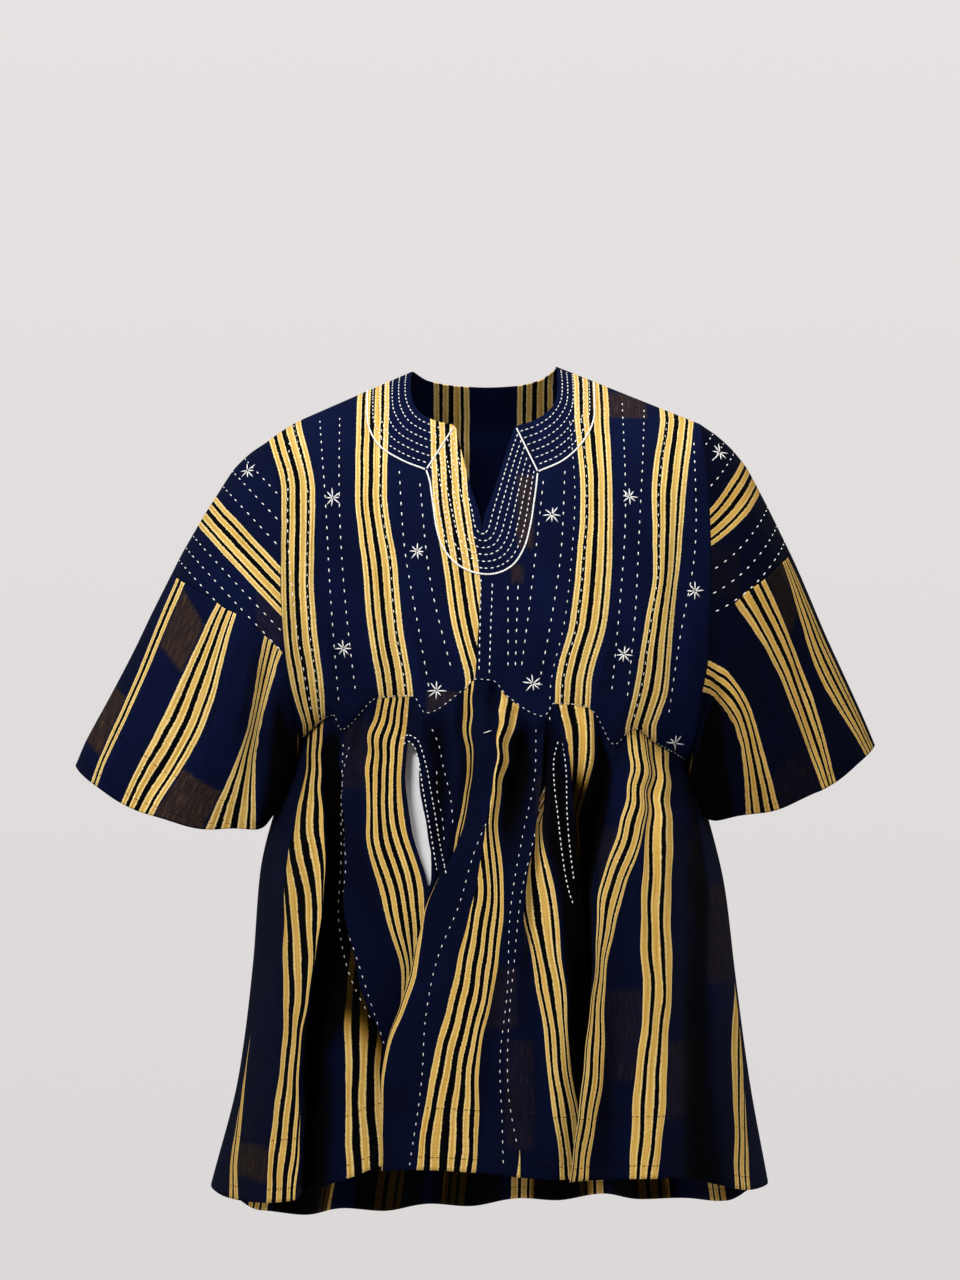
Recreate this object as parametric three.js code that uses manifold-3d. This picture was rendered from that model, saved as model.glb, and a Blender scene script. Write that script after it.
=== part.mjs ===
// A fugu smock, worn: a hollow shirt of hand-woven strips with a yoke, wide two-part sleeves
// and a gathered skirt. Millimetres, +Z up, the front faces -Y, and the wearer's left is +X.
// The origin is the middle of the neck opening, at the height of the shoulder line beside the neck.
import * as THREE from 'three';
import Module from 'manifold-3d';
import { mergeVertices } from 'three/addons/utils/BufferGeometryUtils.js';

const wasm = await Module();
wasm.setup();

// ---- driving dimensions ----
const WALL = 2; // cloth with its seam allowances
const GAP = 0.3; // between two pieces at a seam
const NAVY = 0x121c40;
const STRIPED = 0x3a3524;
const LINING = 0xd9d8d4;

const SHOULDER = { crest: 33, fall: 0.42, round: 90 }; // height over the neck centre, slope, rounding
const ARM_STEPS = 14; // steps down one side of an armhole, and rows of a bodice piece
const ARMHOLE_DEPTH = 66; // half the armhole, front to back
const SECTION_POWER = 2.6; // how square a body section is across
const WIDE_COLUMN = 24; // gathers further apart than this get a column between them
const SCALLOP_START = 0.5; // share of the bodice's rows below which they follow the scallops

// The two armholes and cuffs. x and z only: the cuff swings forward and back by its own reach.
const ARMS = {
  right: {
    side: -1, top: [-207, -54], under: [-178, -368], cuffOuter: [-409, -395], cuffInner: [-227, -441],
    cuffFront: [16, -62, -32], cuffBack: [4, 62, 4], capColumns: 9,
  },
  left: {
    side: 1, top: [213, -56.5], under: [202, -391], cuffOuter: [388, -373], cuffInner: [238, -438],
    cuffFront: [-12, -62, -24], cuffBack: [-4, 62, 4], capColumns: 8,
  },
};
const CAP = {
  length: 0.43, // share of the sleeve that the cap takes along the top
  power: 2.2, // how full its seam is
  tip: 0.006, // share left at its two pointed ends
  rows: [0, 0.18, 0.4, 0.7, 1],
};
const SLEEVE = {
  rows: [0, 0.12, 0.3, 0.52, 0.76, 1],
  capGap: 0.0016, // share of the sleeve's length left open at the cap seam
  swellPower: 1.5, // how quickly the shoulder's swell fades round the arm
  fullness: 8, // how far the front and back stand out half way down
  flutesFrom: 0.05, // shares of the length between which the flutes grow
  flutesTo: 0.5,
};

// How far the top of each sleeve stands off a straight line from shoulder to cuff.
const SHOULDER_SWELL = [
  { along: 0, right: 0, left: 0 },
  { along: 0.08, right: 15.6, left: 14 },
  { along: 0.17, right: 24.5, left: 20 },
  { along: 0.3, right: 19, left: 19.5 },
  { along: 0.45, right: 10, left: 17 },
  { along: 0.65, right: 2, left: 10 },
  { along: 0.85, right: 0, left: 5 },
  { along: 1, right: 0, left: 0 },
];

// Soft flutes of the lower sleeves: where they lie round the arm (degrees, 0 on top, 90 in front)
// and how far they stand out at the cap seam and at the cuff.
const SLEEVE_FLUTES = [
  { angle: 0, start: 0, end: 0 },
  { angle: 34, start: 2, end: 5 },
  { angle: 62, start: -3, end: -6 },
  { angle: 92, start: 5, end: 9 },
  { angle: 122, start: -6, end: -8 },
  { angle: 150, start: 1, end: 3 },
  { angle: 180, start: 0, end: 0 },
  { angle: 215, start: 2, end: 6 },
  { angle: 245, start: -4, end: -7 },
  { angle: 285, start: 4, end: 8 },
  { angle: 325, start: -2, end: -4 },
  { angle: 360, start: 0, end: 0 },
];

// Depth of the body at its middle, front and back, down from the shoulders.
const BODY_DEPTH = [
  { z: 40, front: 66, back: 60 },
  { z: 0, front: 72, back: 64 },
  { z: -60, front: 86, back: 94 },
  { z: -120, front: 112, back: 116 },
  { z: -200, front: 132, back: 126 },
  { z: -290, front: 140, back: 128 },
  { z: -420, front: 140, back: 128 },
];

// Middle edge of each front half: down the neck, round to the corner of the slit,
// down the slit to its foot, and on down the centre seam. One row for each step of the bodice.
const FRONT_EDGE = [
  { rightX: -75, rightZ: 1.5, leftX: 69, leftZ: 4 },
  { rightX: -76, rightZ: -14, leftX: 70, leftZ: -13 },
  { rightX: -74, rightZ: -30, leftX: 68, leftZ: -30 },
  { rightX: -66, rightZ: -44, leftX: 60, leftZ: -43 },
  { rightX: -50, rightZ: -53, leftX: 45, leftZ: -53 },
  { rightX: -32, rightZ: -58, leftX: 28, leftZ: -59 },
  { rightX: -26, rightZ: -80, leftX: 20, leftZ: -80 },
  { rightX: -17, rightZ: -115, leftX: 9, leftZ: -115 },
  { rightX: -5, rightZ: -160, leftX: -5, leftZ: -160 },
  { rightX: -5.5, rightZ: -195, leftX: -5.5, leftZ: -195 },
  { rightX: -7, rightZ: -232, leftX: -7, leftZ: -232 },
  { rightX: -9, rightZ: -264, leftX: -9, leftZ: -264 },
  { rightX: -10.5, rightZ: -288, leftX: -10.5, leftZ: -288 },
  { rightX: -11.5, rightZ: -302, leftX: -11.5, leftZ: -302 },
  { rightX: -12, rightZ: -307, leftX: -12, leftZ: -307 },
];
const SLIT_FOOT_ROW = 8;

// Back of the neck opening, across.
const BACK_NECK = [
  { x: -75, z: 1.5 },
  { x: -58, z: -7 },
  { x: -30, z: -11 },
  { x: 0, z: -12 },
  { x: 28, z: -11 },
  { x: 53, z: -6 },
  { x: 69, z: 4 },
];

// Outline of the skirt from yoke seam (down 0) to hem (down 1): its sides, front and back depth,
// and how round its section is at the sides (1 sharp, 0.5 an ellipse).
const SKIRT = [
  { down: 0, right: -178, left: 202, front: 140, back: 128, side: 1 },
  { down: 0.12, right: -198, left: 214, front: 150, back: 140, side: 0.8 },
  { down: 0.3, right: -223, left: 235, front: 166, back: 160, side: 0.62 },
  { down: 0.5, right: -234, left: 248, front: 181, back: 180, side: 0.55 },
  { down: 0.75, right: -248, left: 262, front: 198, back: 200, side: 0.55 },
  { down: 1, right: -276, left: 281, front: 212, back: 216, side: 0.55 },
];

// One row for each gather of the front skirt: where it starts on the yoke seam, its place across
// half way down and at the hem (-1 and 1 are the side seams), the height of the hem there,
// and how far the cloth stands out (+) or falls in (-) near the top, half way and at the hem.
const FRONT_GATHERS = [
  { x: -178, z: -368, middle: -1, hem: -1, hemZ: -812, top: 0, half: 0, low: 0 },
  { x: -151, z: -343, middle: -0.8, hem: -0.75, hemZ: -806, top: 5, half: 10, low: 14 },
  { x: -144, z: -357, middle: -0.68, hem: -0.6, hemZ: -797, top: -5, half: -22, low: -34 },
  { x: -106, z: -325, middle: -0.52, hem: -0.45, hemZ: -779, top: 4, half: 4, low: -14 },
  { x: -72, z: -323, middle: -0.39, hem: -0.39, hemZ: -774, top: 4, half: 10, low: -18 },
  { x: -60, z: -340, middle: -0.31, hem: -0.36, hemZ: -771, top: -4, half: -7, low: -13 },
  { x: -23, z: -317, middle: -0.27, hem: -0.33, hemZ: -770, top: 2, half: 4, low: 0 },
  { x: -12, z: -307, middle: -0.23, hem: -0.3, hemZ: -770, top: 4, half: 10, low: 8 },
  { x: 5, z: -308, middle: -0.18, hem: -0.22, hemZ: -771, top: 5, half: 14, low: 14 },
  { x: 20, z: -324, middle: -0.1, hem: -0.13, hemZ: -773, top: 3, half: 10, low: 16 },
  { x: 55, z: -343, middle: 0.02, hem: -0.04, hemZ: -777, top: -4, half: -10, low: -2 },
  { x: 65, z: -330, middle: 0.12, hem: 0.07, hemZ: -784, top: 3, half: 0, low: 8 },
  { x: 98, z: -334, middle: 0.22, hem: 0.18, hemZ: -784, top: 3, half: 6, low: 2 },
  { x: 106, z: -342, middle: 0.33, hem: 0.26, hemZ: -780, top: -4, half: -22, low: -20 },
  { x: 124, z: -371, middle: 0.42, hem: 0.32, hemZ: -780, top: 2, half: 7, low: 8 },
  { x: 143, z: -355, middle: 0.52, hem: 0.4, hemZ: -780, top: -2, half: -4, low: -14 },
  { x: 166, z: -370, middle: 0.66, hem: 0.53, hemZ: -781, top: 6, half: 15, low: 15 },
  { x: 186, z: -381, middle: 0.83, hem: 0.72, hemZ: -788, top: -2, half: -3, low: -8 },
  { x: 202, z: -391, middle: 1, hem: 1, hemZ: -809, top: 0, half: 0, low: 0 },
];

// The same for the back skirt, which hangs lower. Seen from the front, -1 is again the right side.
const BACK_GATHERS = [
  { x: -178, z: -368, middle: -1, hem: -1, hemZ: -812, top: 0, half: 0, low: 0 },
  { x: -150, z: -352, middle: -0.84, hem: -0.84, hemZ: -856, top: 4, half: 9, low: 13 },
  { x: -126, z: -342, middle: -0.68, hem: -0.7, hemZ: -862, top: -4, half: -12, low: -18 },
  { x: -92, z: -330, middle: -0.52, hem: -0.55, hemZ: -864, top: 5, half: 14, low: 17 },
  { x: -62, z: -336, middle: -0.37, hem: -0.4, hemZ: -863, top: -4, half: -15, low: -20 },
  { x: -30, z: -318, middle: -0.2, hem: -0.23, hemZ: -862, top: 4, half: 11, low: 14 },
  { x: 4, z: -325, middle: -0.04, hem: -0.07, hemZ: -860, top: -3, half: -10, low: -17 },
  { x: 36, z: -316, middle: 0.12, hem: 0.1, hemZ: -857, top: 5, half: 13, low: 17 },
  { x: 70, z: -333, middle: 0.28, hem: 0.27, hemZ: -853, top: -4, half: -13, low: -19 },
  { x: 102, z: -335, middle: 0.43, hem: 0.42, hemZ: -850, top: 4, half: 12, low: 15 },
  { x: 132, z: -352, middle: 0.58, hem: 0.57, hemZ: -849, top: -4, half: -12, low: -16 },
  { x: 160, z: -360, middle: 0.74, hem: 0.74, hemZ: -848, top: 4, half: 10, low: 13 },
  { x: 184, z: -378, middle: 0.88, hem: 0.88, hemZ: -842, top: -2, half: -6, low: -7 },
  { x: 202, z: -391, middle: 1, hem: 1, hemZ: -809, top: 0, half: 0, low: 0 },
];
const SKIRT_ROWS = [0, 0.05, 0.12, 0.22, 0.34, 0.47, 0.6, 0.74, 0.88, 1];
const STEPS_PER_GATHER = 3;
const GATHER_ZONE = 0.12; // share of the skirt in which its cloth spreads from the yoke seam
const FOLD_HEIGHTS = [0, 0.14, 0.5, 1]; // where a gather's top, half and low depths apply
const NEARBY = 0.01; // step across a section that gives its direction

// The open pocket slit in the front skirt, and the lining that shows in it.
const POCKET = {
  top: [-82, -369], foot: [-53, -508], width: 18, lining: 1.2, clearance: 0.6, sag: 9,
  firstRow: 1, lastRow: 5, firstColumn: 9, lastColumn: 19, cutFrom: -60, cutDepth: 150,
};

// ---- small tools ----
const mix = (a, b, share) => a + (b - a) * share;
const clamp = (value, low, high) => Math.min(high, Math.max(low, value));

// 0 below low, 1 above high, and smooth between them.
function ease(low, high, value) {
  const share = clamp((value - low) / (high - low), 0, 1);
  return share * share * (3 - 2 * share);
}

// Slope of a smooth line at each of its points, flat at its peaks, so that it never overshoots.
function slopes(xs, ys) {
  const steps = xs.slice(1).map((x, i) => (ys[i + 1] - ys[i]) / (x - xs[i]));
  const inner = steps.slice(1).map((after, i) => {
    const before = steps[i];
    return before * after <= 0 ? 0 : (2 * before * after) / (before + after);
  });
  return [steps[0], ...inner, steps[steps.length - 1]];
}

// The smooth line through the points (xs, ys), as a function of x.
function smoothLine(xs, ys) {
  const slope = slopes(xs, ys);
  return (x) => {
    let i = 0;
    while (i < xs.length - 2 && x > xs[i + 1]) i += 1;
    const width = xs[i + 1] - xs[i];
    const s = clamp((x - xs[i]) / width, 0, 1);
    const rise = ys[i + 1] - ys[i];
    const bend = slope[i] * width * s * (1 - s) ** 2 - slope[i + 1] * width * s * s * (1 - s);
    return ys[i] + rise * s * s * (3 - 2 * s) + bend;
  };
}

// A column of a table as a smooth function of the table's key, which may run up or down.
function column(table, key, name) {
  const rows = [...table].sort((a, b) => a[key] - b[key]);
  return smoothLine(rows.map((row) => row[key]), rows.map((row) => row[name]));
}

// Straight lines between the rows of a table.
function straight(table, key, name, at) {
  let i = 0;
  while (i < table.length - 2 && at > table[i + 1][key]) i += 1;
  const share = (at - table[i][key]) / (table[i + 1][key] - table[i][key]);
  return mix(table[i][name], table[i + 1][name], clamp(share, 0, 1));
}

// ---- cloth walls ----
const at = (grid, i, j, ring) => {
  const row = grid[clamp(i, 0, grid.length - 1)];
  return ring ? row[(j + row.length) % row.length] : row[clamp(j, 0, row.length - 1)];
};

// Outward directions of a grid of points. facing is 1 or -1, and picks the side that is outside.
function outward(grid, ring, facing) {
  return grid.map((row, i) => row.map((_, j) => {
    const across = at(grid, i, j + 1, ring).clone().sub(at(grid, i, j - 1, ring));
    const down = at(grid, i + 1, j, ring).clone().sub(at(grid, i - 1, j, ring));
    return down.cross(across).normalize().multiplyScalar(facing);
  }));
}

// Triangles between two neighbouring rows of a grid, each square cut along its shorter diagonal.
function squares(grid, ring) {
  const width = grid[0].length;
  const faces = [];
  for (let i = 0; i + 1 < grid.length; i += 1) {
    for (let j = 0; j < (ring ? width : width - 1); j += 1) {
      const next = (j + 1) % width;
      const [a, b, c, d] = [i * width + j, i * width + next, (i + 1) * width + next, (i + 1) * width + j];
      const falling = grid[i][j].distanceTo(grid[i + 1][next]) < grid[i][next].distanceTo(grid[i + 1][j]);
      faces.push(...(falling ? [[a, b, c], [a, c, d]] : [[a, b, d], [b, c, d]]));
    }
  }
  return faces;
}

// The rim of a grid as pairs of neighbouring points, in the direction that closes the wall.
function rim(rows, width, ring) {
  const pairs = [];
  for (let j = 0; j < (ring ? width : width - 1); j += 1) {
    const next = (j + 1) % width;
    pairs.push([next, j], [(rows - 1) * width + j, (rows - 1) * width + next]);
  }
  for (let i = 0; !ring && i + 1 < rows; i += 1) {
    pairs.push([i * width, (i + 1) * width], [(i + 2) * width - 1, (i + 1) * width - 1]);
  }
  return pairs;
}

// A closed geometry from points and triangles, turned so that its faces point outwards.
function closed(points, faces) {
  const volume = faces.reduce((sum, [a, b, c]) => {
    return sum + points[a].dot(points[b].clone().cross(points[c]));
  }, 0);
  const turned = volume < 0 ? faces.map(([a, b, c]) => [a, c, b]) : faces;
  const geometry = new THREE.BufferGeometry();
  geometry.setAttribute('position', new THREE.Float32BufferAttribute(points.flatMap((p) => p.toArray()), 3));
  geometry.setIndex(turned.flat());
  return geometry;
}

// The same grid's part between two rows and two columns.
const part = (grid, { firstRow, lastRow, firstColumn, lastColumn }) => {
  return grid.slice(firstRow, lastRow + 1).map((row) => row.slice(firstColumn, lastColumn + 1));
};

// A cloth wall: the grid is its right side, and the wrong side lies a wall's thickness in.
// seam(i, j, normal) may turn the normal at a seam, so that both pieces there end in one plane.
function wall(grid, { ring = false, facing = 1, thickness = WALL, seam = (i, j, normal) => normal } = {}) {
  const width = grid[0].length;
  const normals = outward(grid, ring, facing).map((row, i) => row.map((n, j) => seam(i, j, n)));
  const inner = grid.map((row, i) => row.map((p, j) => p.clone().addScaledVector(normals[i][j], -thickness)));
  const count = grid.length * width;
  const front = squares(grid, ring);
  const back = front.map(([a, b, c]) => [a + count, c + count, b + count]);
  const edges = rim(grid.length, width, ring).flatMap(([a, b]) => {
    return [[a, b, b + count], [a, b + count, a + count]];
  });
  return closed([...grid.flat(), ...inner.flat()], [...front, ...back, ...edges]);
}

function piece(name, geometry, colour) {
  geometry.computeVertexNormals();
  const material = new THREE.MeshStandardMaterial({ color: colour, roughness: 0.85, metalness: 0 });
  const mesh = new THREE.Mesh(geometry, material);
  mesh.name = name;
  return mesh;
}

// ---- the body ----
const shoulderZ = (x) => SHOULDER.crest - SHOULDER.fall * Math.abs(x);
const depthAt = { front: column(BODY_DEPTH, 'z', 'front'), back: column(BODY_DEPTH, 'z', 'back') };
const armX = (arm, down) => mix(arm.top[0], arm.under[0], down);
const turn = (step) => (Math.PI * step) / ARM_STEPS;
const downAt = (step) => (1 - Math.cos(turn(step))) / 2;

// Point of the body's surface. step counts rows from the shoulder (0) to the yoke seam.
function bodyPoint(x, z, step, face) {
  const down = downAt(step);
  const [low, high] = [armX(ARMS.right, down), armX(ARMS.left, down)];
  const across = Math.abs(x - (low + high) / 2) / ((high - low) / 2);
  const edge = Math.min(1, across) ** SECTION_POWER;
  const below = clamp((shoulderZ(x) - z) / SHOULDER.round, 0, 1);
  const rounded = Math.sqrt(1 - (1 - below) ** 2);
  const depth = mix(depthAt[face](z) * rounded, ARMHOLE_DEPTH * Math.sin(turn(step)), edge);
  const sign = face === 'front' ? -1 : 1;
  return new THREE.Vector3(x, sign * Math.max(depth, GAP / 2), z);
}

// Point of an armhole: step 0 on the shoulder, then down the front and up the back.
function armholePoint(arm, step) {
  const angle = turn(step);
  const down = (1 - Math.cos(angle)) / 2;
  const z = mix(arm.top[1], arm.under[1], down);
  return new THREE.Vector3(armX(arm, down), -ARMHOLE_DEPTH * Math.sin(angle), z);
}

function armholeNormal(arm, step) {
  const angle = turn(step);
  const height = (arm.top[1] - arm.under[1]) / 2;
  return new THREE.Vector3(0, -Math.sin(angle) / ARMHOLE_DEPTH, Math.cos(angle) / height).normalize();
}

// Outward direction along the yoke seam, level, the same for the bodice and the skirt below it.
function yokeNormal(x, face) {
  const [low, high] = [ARMS.right.under[0], ARMS.left.under[0]];
  const half = (high - low) / 2;
  const across = (x - (low + high) / 2) / half;
  if (Math.abs(across) > 1 - NEARBY / 10) return new THREE.Vector3(Math.sign(across), 0, 0);
  const depth = BODY_DEPTH[BODY_DEPTH.length - 1][face];
  const slope = (SECTION_POWER * depth * Math.abs(across) ** (SECTION_POWER - 1)) / half;
  return new THREE.Vector3(Math.sign(across) * slope, face === 'front' ? -1 : 1, 0).normalize();
}

// A row's height, eased towards the scallops of the yoke seam as it comes down to it.
function rowZ(straightZ, step, xAtYoke, chordZ, gathers) {
  const scallop = straight(gathers, 'x', 'z', xAtYoke) - chordZ;
  return straightZ + scallop * ease(SCALLOP_START, 1, step / ARM_STEPS);
}

// Columns of a bodice piece: every start of a gather, and points between those that lie far apart.
function yokeColumns(gathers, from, to) {
  const inside = gathers.map((row) => row.x).filter((x) => x >= from && x <= to);
  return inside.flatMap((x, i) => {
    const next = inside[i + 1];
    return next !== undefined && next - x > WIDE_COLUMN ? [x, (x + next) / 2] : [x];
  });
}

function frontBodice(side) {
  const arm = ARMS[side];
  const edge = FRONT_EDGE.map((row) => [row[`${side}X`], row[`${side}Z`]]);
  const seamX = edge[ARM_STEPS][0];
  const columns = yokeColumns(FRONT_GATHERS, Math.min(seamX, arm.under[0]), Math.max(seamX, arm.under[0]));
  if (side === 'right') columns.reverse();
  const grid = edge.map(([edgeX, edgeZ], step) => columns.map((yokeX) => {
    const share = (yokeX - seamX) / (arm.under[0] - seamX);
    const armhole = armholePoint(arm, step);
    const apart = step >= SLIT_FOOT_ROW && share === 0 ? (arm.side * GAP) / 2 : 0;
    const x = mix(edgeX, armhole.x, share) + apart;
    const level = mix(edgeZ, armhole.z, share);
    const chord = mix(edge[ARM_STEPS][1], arm.under[1], share);
    const z = step === 0 ? shoulderZ(x) : rowZ(level, step, yokeX, chord, FRONT_GATHERS);
    return bodyPoint(x, z, step, 'front');
  }));
  const last = columns.length - 1;
  const seam = (i, j, normal) => {
    if (i === ARM_STEPS) return yokeNormal(columns[j], 'front');
    if (j === last) return armholeNormal(arm, i);
    if (i === 0) return normal.setY(0).normalize();
    if (j === 0 && i >= SLIT_FOOT_ROW) return normal.setX(0).normalize();
    return normal;
  };
  return wall(grid, { facing: arm.side, seam });
}

function backBodice() {
  const columns = yokeColumns(BACK_GATHERS, ARMS.right.under[0], ARMS.left.under[0]);
  const [low, high] = [columns[0], columns[columns.length - 1]];
  const neck = [BACK_NECK[0].x, BACK_NECK[BACK_NECK.length - 1].x];
  const shares = columns.map((x) => (x - low) / (high - low));
  const topX = shares.map((share) => mix(ARMS.right.top[0], ARMS.left.top[0], share));
  for (const x of neck) {
    const nearest = topX.reduce((best, value, j) => {
      return Math.abs(value - x) < Math.abs(topX[best] - x) ? j : best;
    }, 0);
    topX[nearest] = x;
  }
  const grid = FRONT_EDGE.map((_, step) => columns.map((yokeX, j) => {
    const down = downAt(step);
    const inNeck = topX[j] >= neck[0] && topX[j] <= neck[1];
    const topZ = inNeck ? straight(BACK_NECK, 'x', 'z', topX[j]) : shoulderZ(topX[j]);
    const chord = mix(ARMS.right.under[1], ARMS.left.under[1], shares[j]);
    const x = mix(topX[j], yokeX, down);
    const z = rowZ(mix(topZ, chord, down), step, yokeX, chord, BACK_GATHERS);
    return bodyPoint(x, z, step, 'back');
  }));
  const seam = (i, j, normal) => {
    if (i === ARM_STEPS) return yokeNormal(columns[j], 'back');
    if (j === 0) return armholeNormal(ARMS.right, 2 * ARM_STEPS - i);
    if (j === columns.length - 1) return armholeNormal(ARMS.left, 2 * ARM_STEPS - i);
    const onShoulder = topX[j] <= neck[0] || topX[j] >= neck[1];
    return i === 0 && onShoulder ? normal.setY(0).normalize() : normal;
  };
  return wall(grid, { facing: -1, seam });
}

// ---- the sleeves ----
const flute = {
  start: column(SLEEVE_FLUTES, 'angle', 'start'),
  end: column(SLEEVE_FLUTES, 'angle', 'end'),
};

function cuffPoint(arm, angle) {
  const [outer, inner] = [arm.cuffOuter, arm.cuffInner];
  const reach = Math.sin(angle) > 0 ? arm.cuffFront : arm.cuffBack;
  const swing = Math.abs(Math.sin(angle));
  const x = (outer[0] + inner[0]) / 2 + ((outer[0] - inner[0]) / 2) * Math.cos(angle);
  const z = (outer[1] + inner[1]) / 2 + ((outer[1] - inner[1]) / 2) * Math.cos(angle);
  return new THREE.Vector3(x + reach[0] * swing, reach[1] * swing, z + reach[2] * swing);
}

// Point of a sleeve: step counts round the arm as at the armhole, along runs 0 to 1 to the cuff.
function sleevePoint(side, step, along) {
  const arm = ARMS[side];
  const angle = turn(step);
  const start = armholePoint(arm, step).add(new THREE.Vector3(arm.side * GAP, 0, 0));
  const point = start.clone().lerp(cuffPoint(arm, angle), along);
  const line = new THREE.Vector2(arm.cuffOuter[0] - arm.top[0], arm.cuffOuter[1] - arm.top[1]).normalize();
  const swell = column(SHOULDER_SWELL, 'along', side)(along) * ((1 + Math.cos(angle)) / 2) ** SLEEVE.swellPower;
  point.x += arm.side * Math.abs(line.y) * swell;
  point.z += Math.abs(line.x) * swell;
  const degrees = (angle * 180) / Math.PI;
  const grown = ease(SLEEVE.flutesFrom, SLEEVE.flutesTo, along);
  const out = mix(flute.start(degrees), flute.end(degrees), along) * grown;
  point.y -= Math.sin(angle) * (out + SLEEVE.fullness * Math.sin(Math.PI * along));
  point.z += Math.cos(angle) * out;
  return point;
}

// Where the cap seam crosses, as a share of the way to the cuff. It meets the armhole at the tips.
function capSeam(side, step) {
  const fromTop = Math.min(step, 2 * ARM_STEPS - step);
  const share = 1 - (fromTop / ARMS[side].capColumns) ** CAP.power;
  return fromTop <= ARMS[side].capColumns ? Math.max(CAP.tip, CAP.length * share) : 0;
}

function sleeveCap(side) {
  const { capColumns } = ARMS[side];
  const steps = Array.from({ length: 2 * capColumns + 1 }, (_, j) => j - capColumns);
  const round = (step) => (step + 2 * ARM_STEPS) % (2 * ARM_STEPS);
  const grid = CAP.rows.map((share) => steps.map((step) => {
    return sleevePoint(side, round(step), capSeam(side, round(step)) * share);
  }));
  const seam = (i, j, normal) => (i === 0 ? armholeNormal(ARMS[side], round(steps[j])) : normal);
  return wall(grid, { facing: -ARMS[side].side, seam });
}

function lowerSleeve(side) {
  const steps = Array.from({ length: 2 * ARM_STEPS }, (_, j) => j);
  const grid = SLEEVE.rows.map((share) => steps.map((step) => {
    const start = capSeam(side, step);
    return sleevePoint(side, step, mix(start === 0 ? 0 : start + SLEEVE.capGap, 1, share));
  }));
  const seam = (i, j, normal) => {
    const onArmhole = i === 0 && capSeam(side, steps[j]) === 0;
    return onArmhole ? armholeNormal(ARMS[side], steps[j]) : normal;
  };
  return wall(grid, { ring: true, facing: -ARMS[side].side, seam });
}

// ---- the skirt ----
const outline = Object.fromEntries(['right', 'left', 'front', 'back', 'side'].map((name) => {
  return [name, column(SKIRT, 'down', name)];
}));

// Point of a skirt's section before its folds: place runs -1 to 1 from the right side to the left.
function sectionPoint(place, down, face) {
  const [low, high] = [outline.right(down), outline.left(down)];
  const inside = Math.max(0, 1 - Math.abs(place) ** SECTION_POWER);
  const depth = outline[face](down) * inside ** outline.side(down);
  const sign = face === 'front' ? -1 : 1;
  return new THREE.Vector2((low + high) / 2 + ((high - low) / 2) * place, sign * depth);
}

// A skirt's point: gather counts rows of its table, with parts of a row between them.
function skirtPoint(gathers, face, gather, down) {
  const index = gathers.map((_, i) => i);
  const half = (outline.left(0) - outline.right(0)) / 2;
  const middle = (outline.left(0) + outline.right(0)) / 2;
  const along = (values) => smoothLine([0, 0.5, 1], values)(down);
  const places = gathers.map((row) => along([(row.x - middle) / half, row.middle, row.hem]));
  const out = gathers.map((row) => smoothLine(FOLD_HEIGHTS, [0, row.top, row.half, row.low])(down));
  const [from, to] = [Math.floor(gather), Math.ceil(gather)];
  const yokeX = mix(gathers[from].x, gathers[to].x, gather - from);
  const yokeZ = mix(gathers[from].z, gathers[to].z, gather - from);
  const topPlace = (yokeX - middle) / half;
  const place = mix(topPlace, smoothLine(index, places)(gather), ease(0, GATHER_ZONE, down));
  const base = sectionPoint(place, down, face);
  const beside = (step) => sectionPoint(clamp(place + step, NEARBY - 1, 1 - NEARBY), down, face);
  const tangent = beside(NEARBY).sub(beside(-NEARBY)).normalize();
  const sign = face === 'front' ? 1 : -1;
  const fold = smoothLine(index, out)(gather);
  const z = mix(yokeZ - GAP, smoothLine(index, gathers.map((row) => row.hemZ))(gather), down);
  return new THREE.Vector3(base.x + sign * tangent.y * fold, base.y - sign * tangent.x * fold, z);
}

function skirtGrid(gathers, face) {
  const count = (gathers.length - 1) * STEPS_PER_GATHER;
  const steps = Array.from({ length: count + 1 }, (_, j) => j / STEPS_PER_GATHER);
  return SKIRT_ROWS.map((down) => steps.map((gather) => {
    const point = skirtPoint(gathers, face, gather, down);
    const onSide = gather === 0 || gather === gathers.length - 1;
    return onSide ? point.setY(face === 'front' ? -GAP / 2 : GAP / 2) : point;
  }));
}

function skirt(gathers, face) {
  const grid = skirtGrid(gathers, face);
  const count = grid[0].length - 1;
  const seam = (i, j, normal) => {
    if (i === 0) return yokeNormal(grid[0][j].x, face);
    return j === 0 || j === count ? normal.setY(0).normalize() : normal;
  };
  return wall(grid, { facing: face === 'front' ? 1 : -1, seam });
}

// ---- the pocket ----
// A geometry as a solid that can be cut.
function solid(geometry) {
  const bare = geometry.clone();
  for (const name of ['normal', 'uv']) bare.deleteAttribute(name);
  const merged = mergeVertices(bare, 1e-4);
  const vertProperties = new Float32Array(merged.attributes.position.array);
  const triVerts = new Uint32Array(merged.index.array);
  return new wasm.Manifold(new wasm.Mesh({ numProp: 3, vertProperties, triVerts }));
}

function fromSolid(cut) {
  const mesh = cut.getMesh();
  const geometry = new THREE.BufferGeometry();
  geometry.setAttribute('position', new THREE.BufferAttribute(new Float32Array(mesh.vertProperties), 3));
  geometry.setIndex(Array.from(mesh.triVerts));
  return geometry;
}

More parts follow.
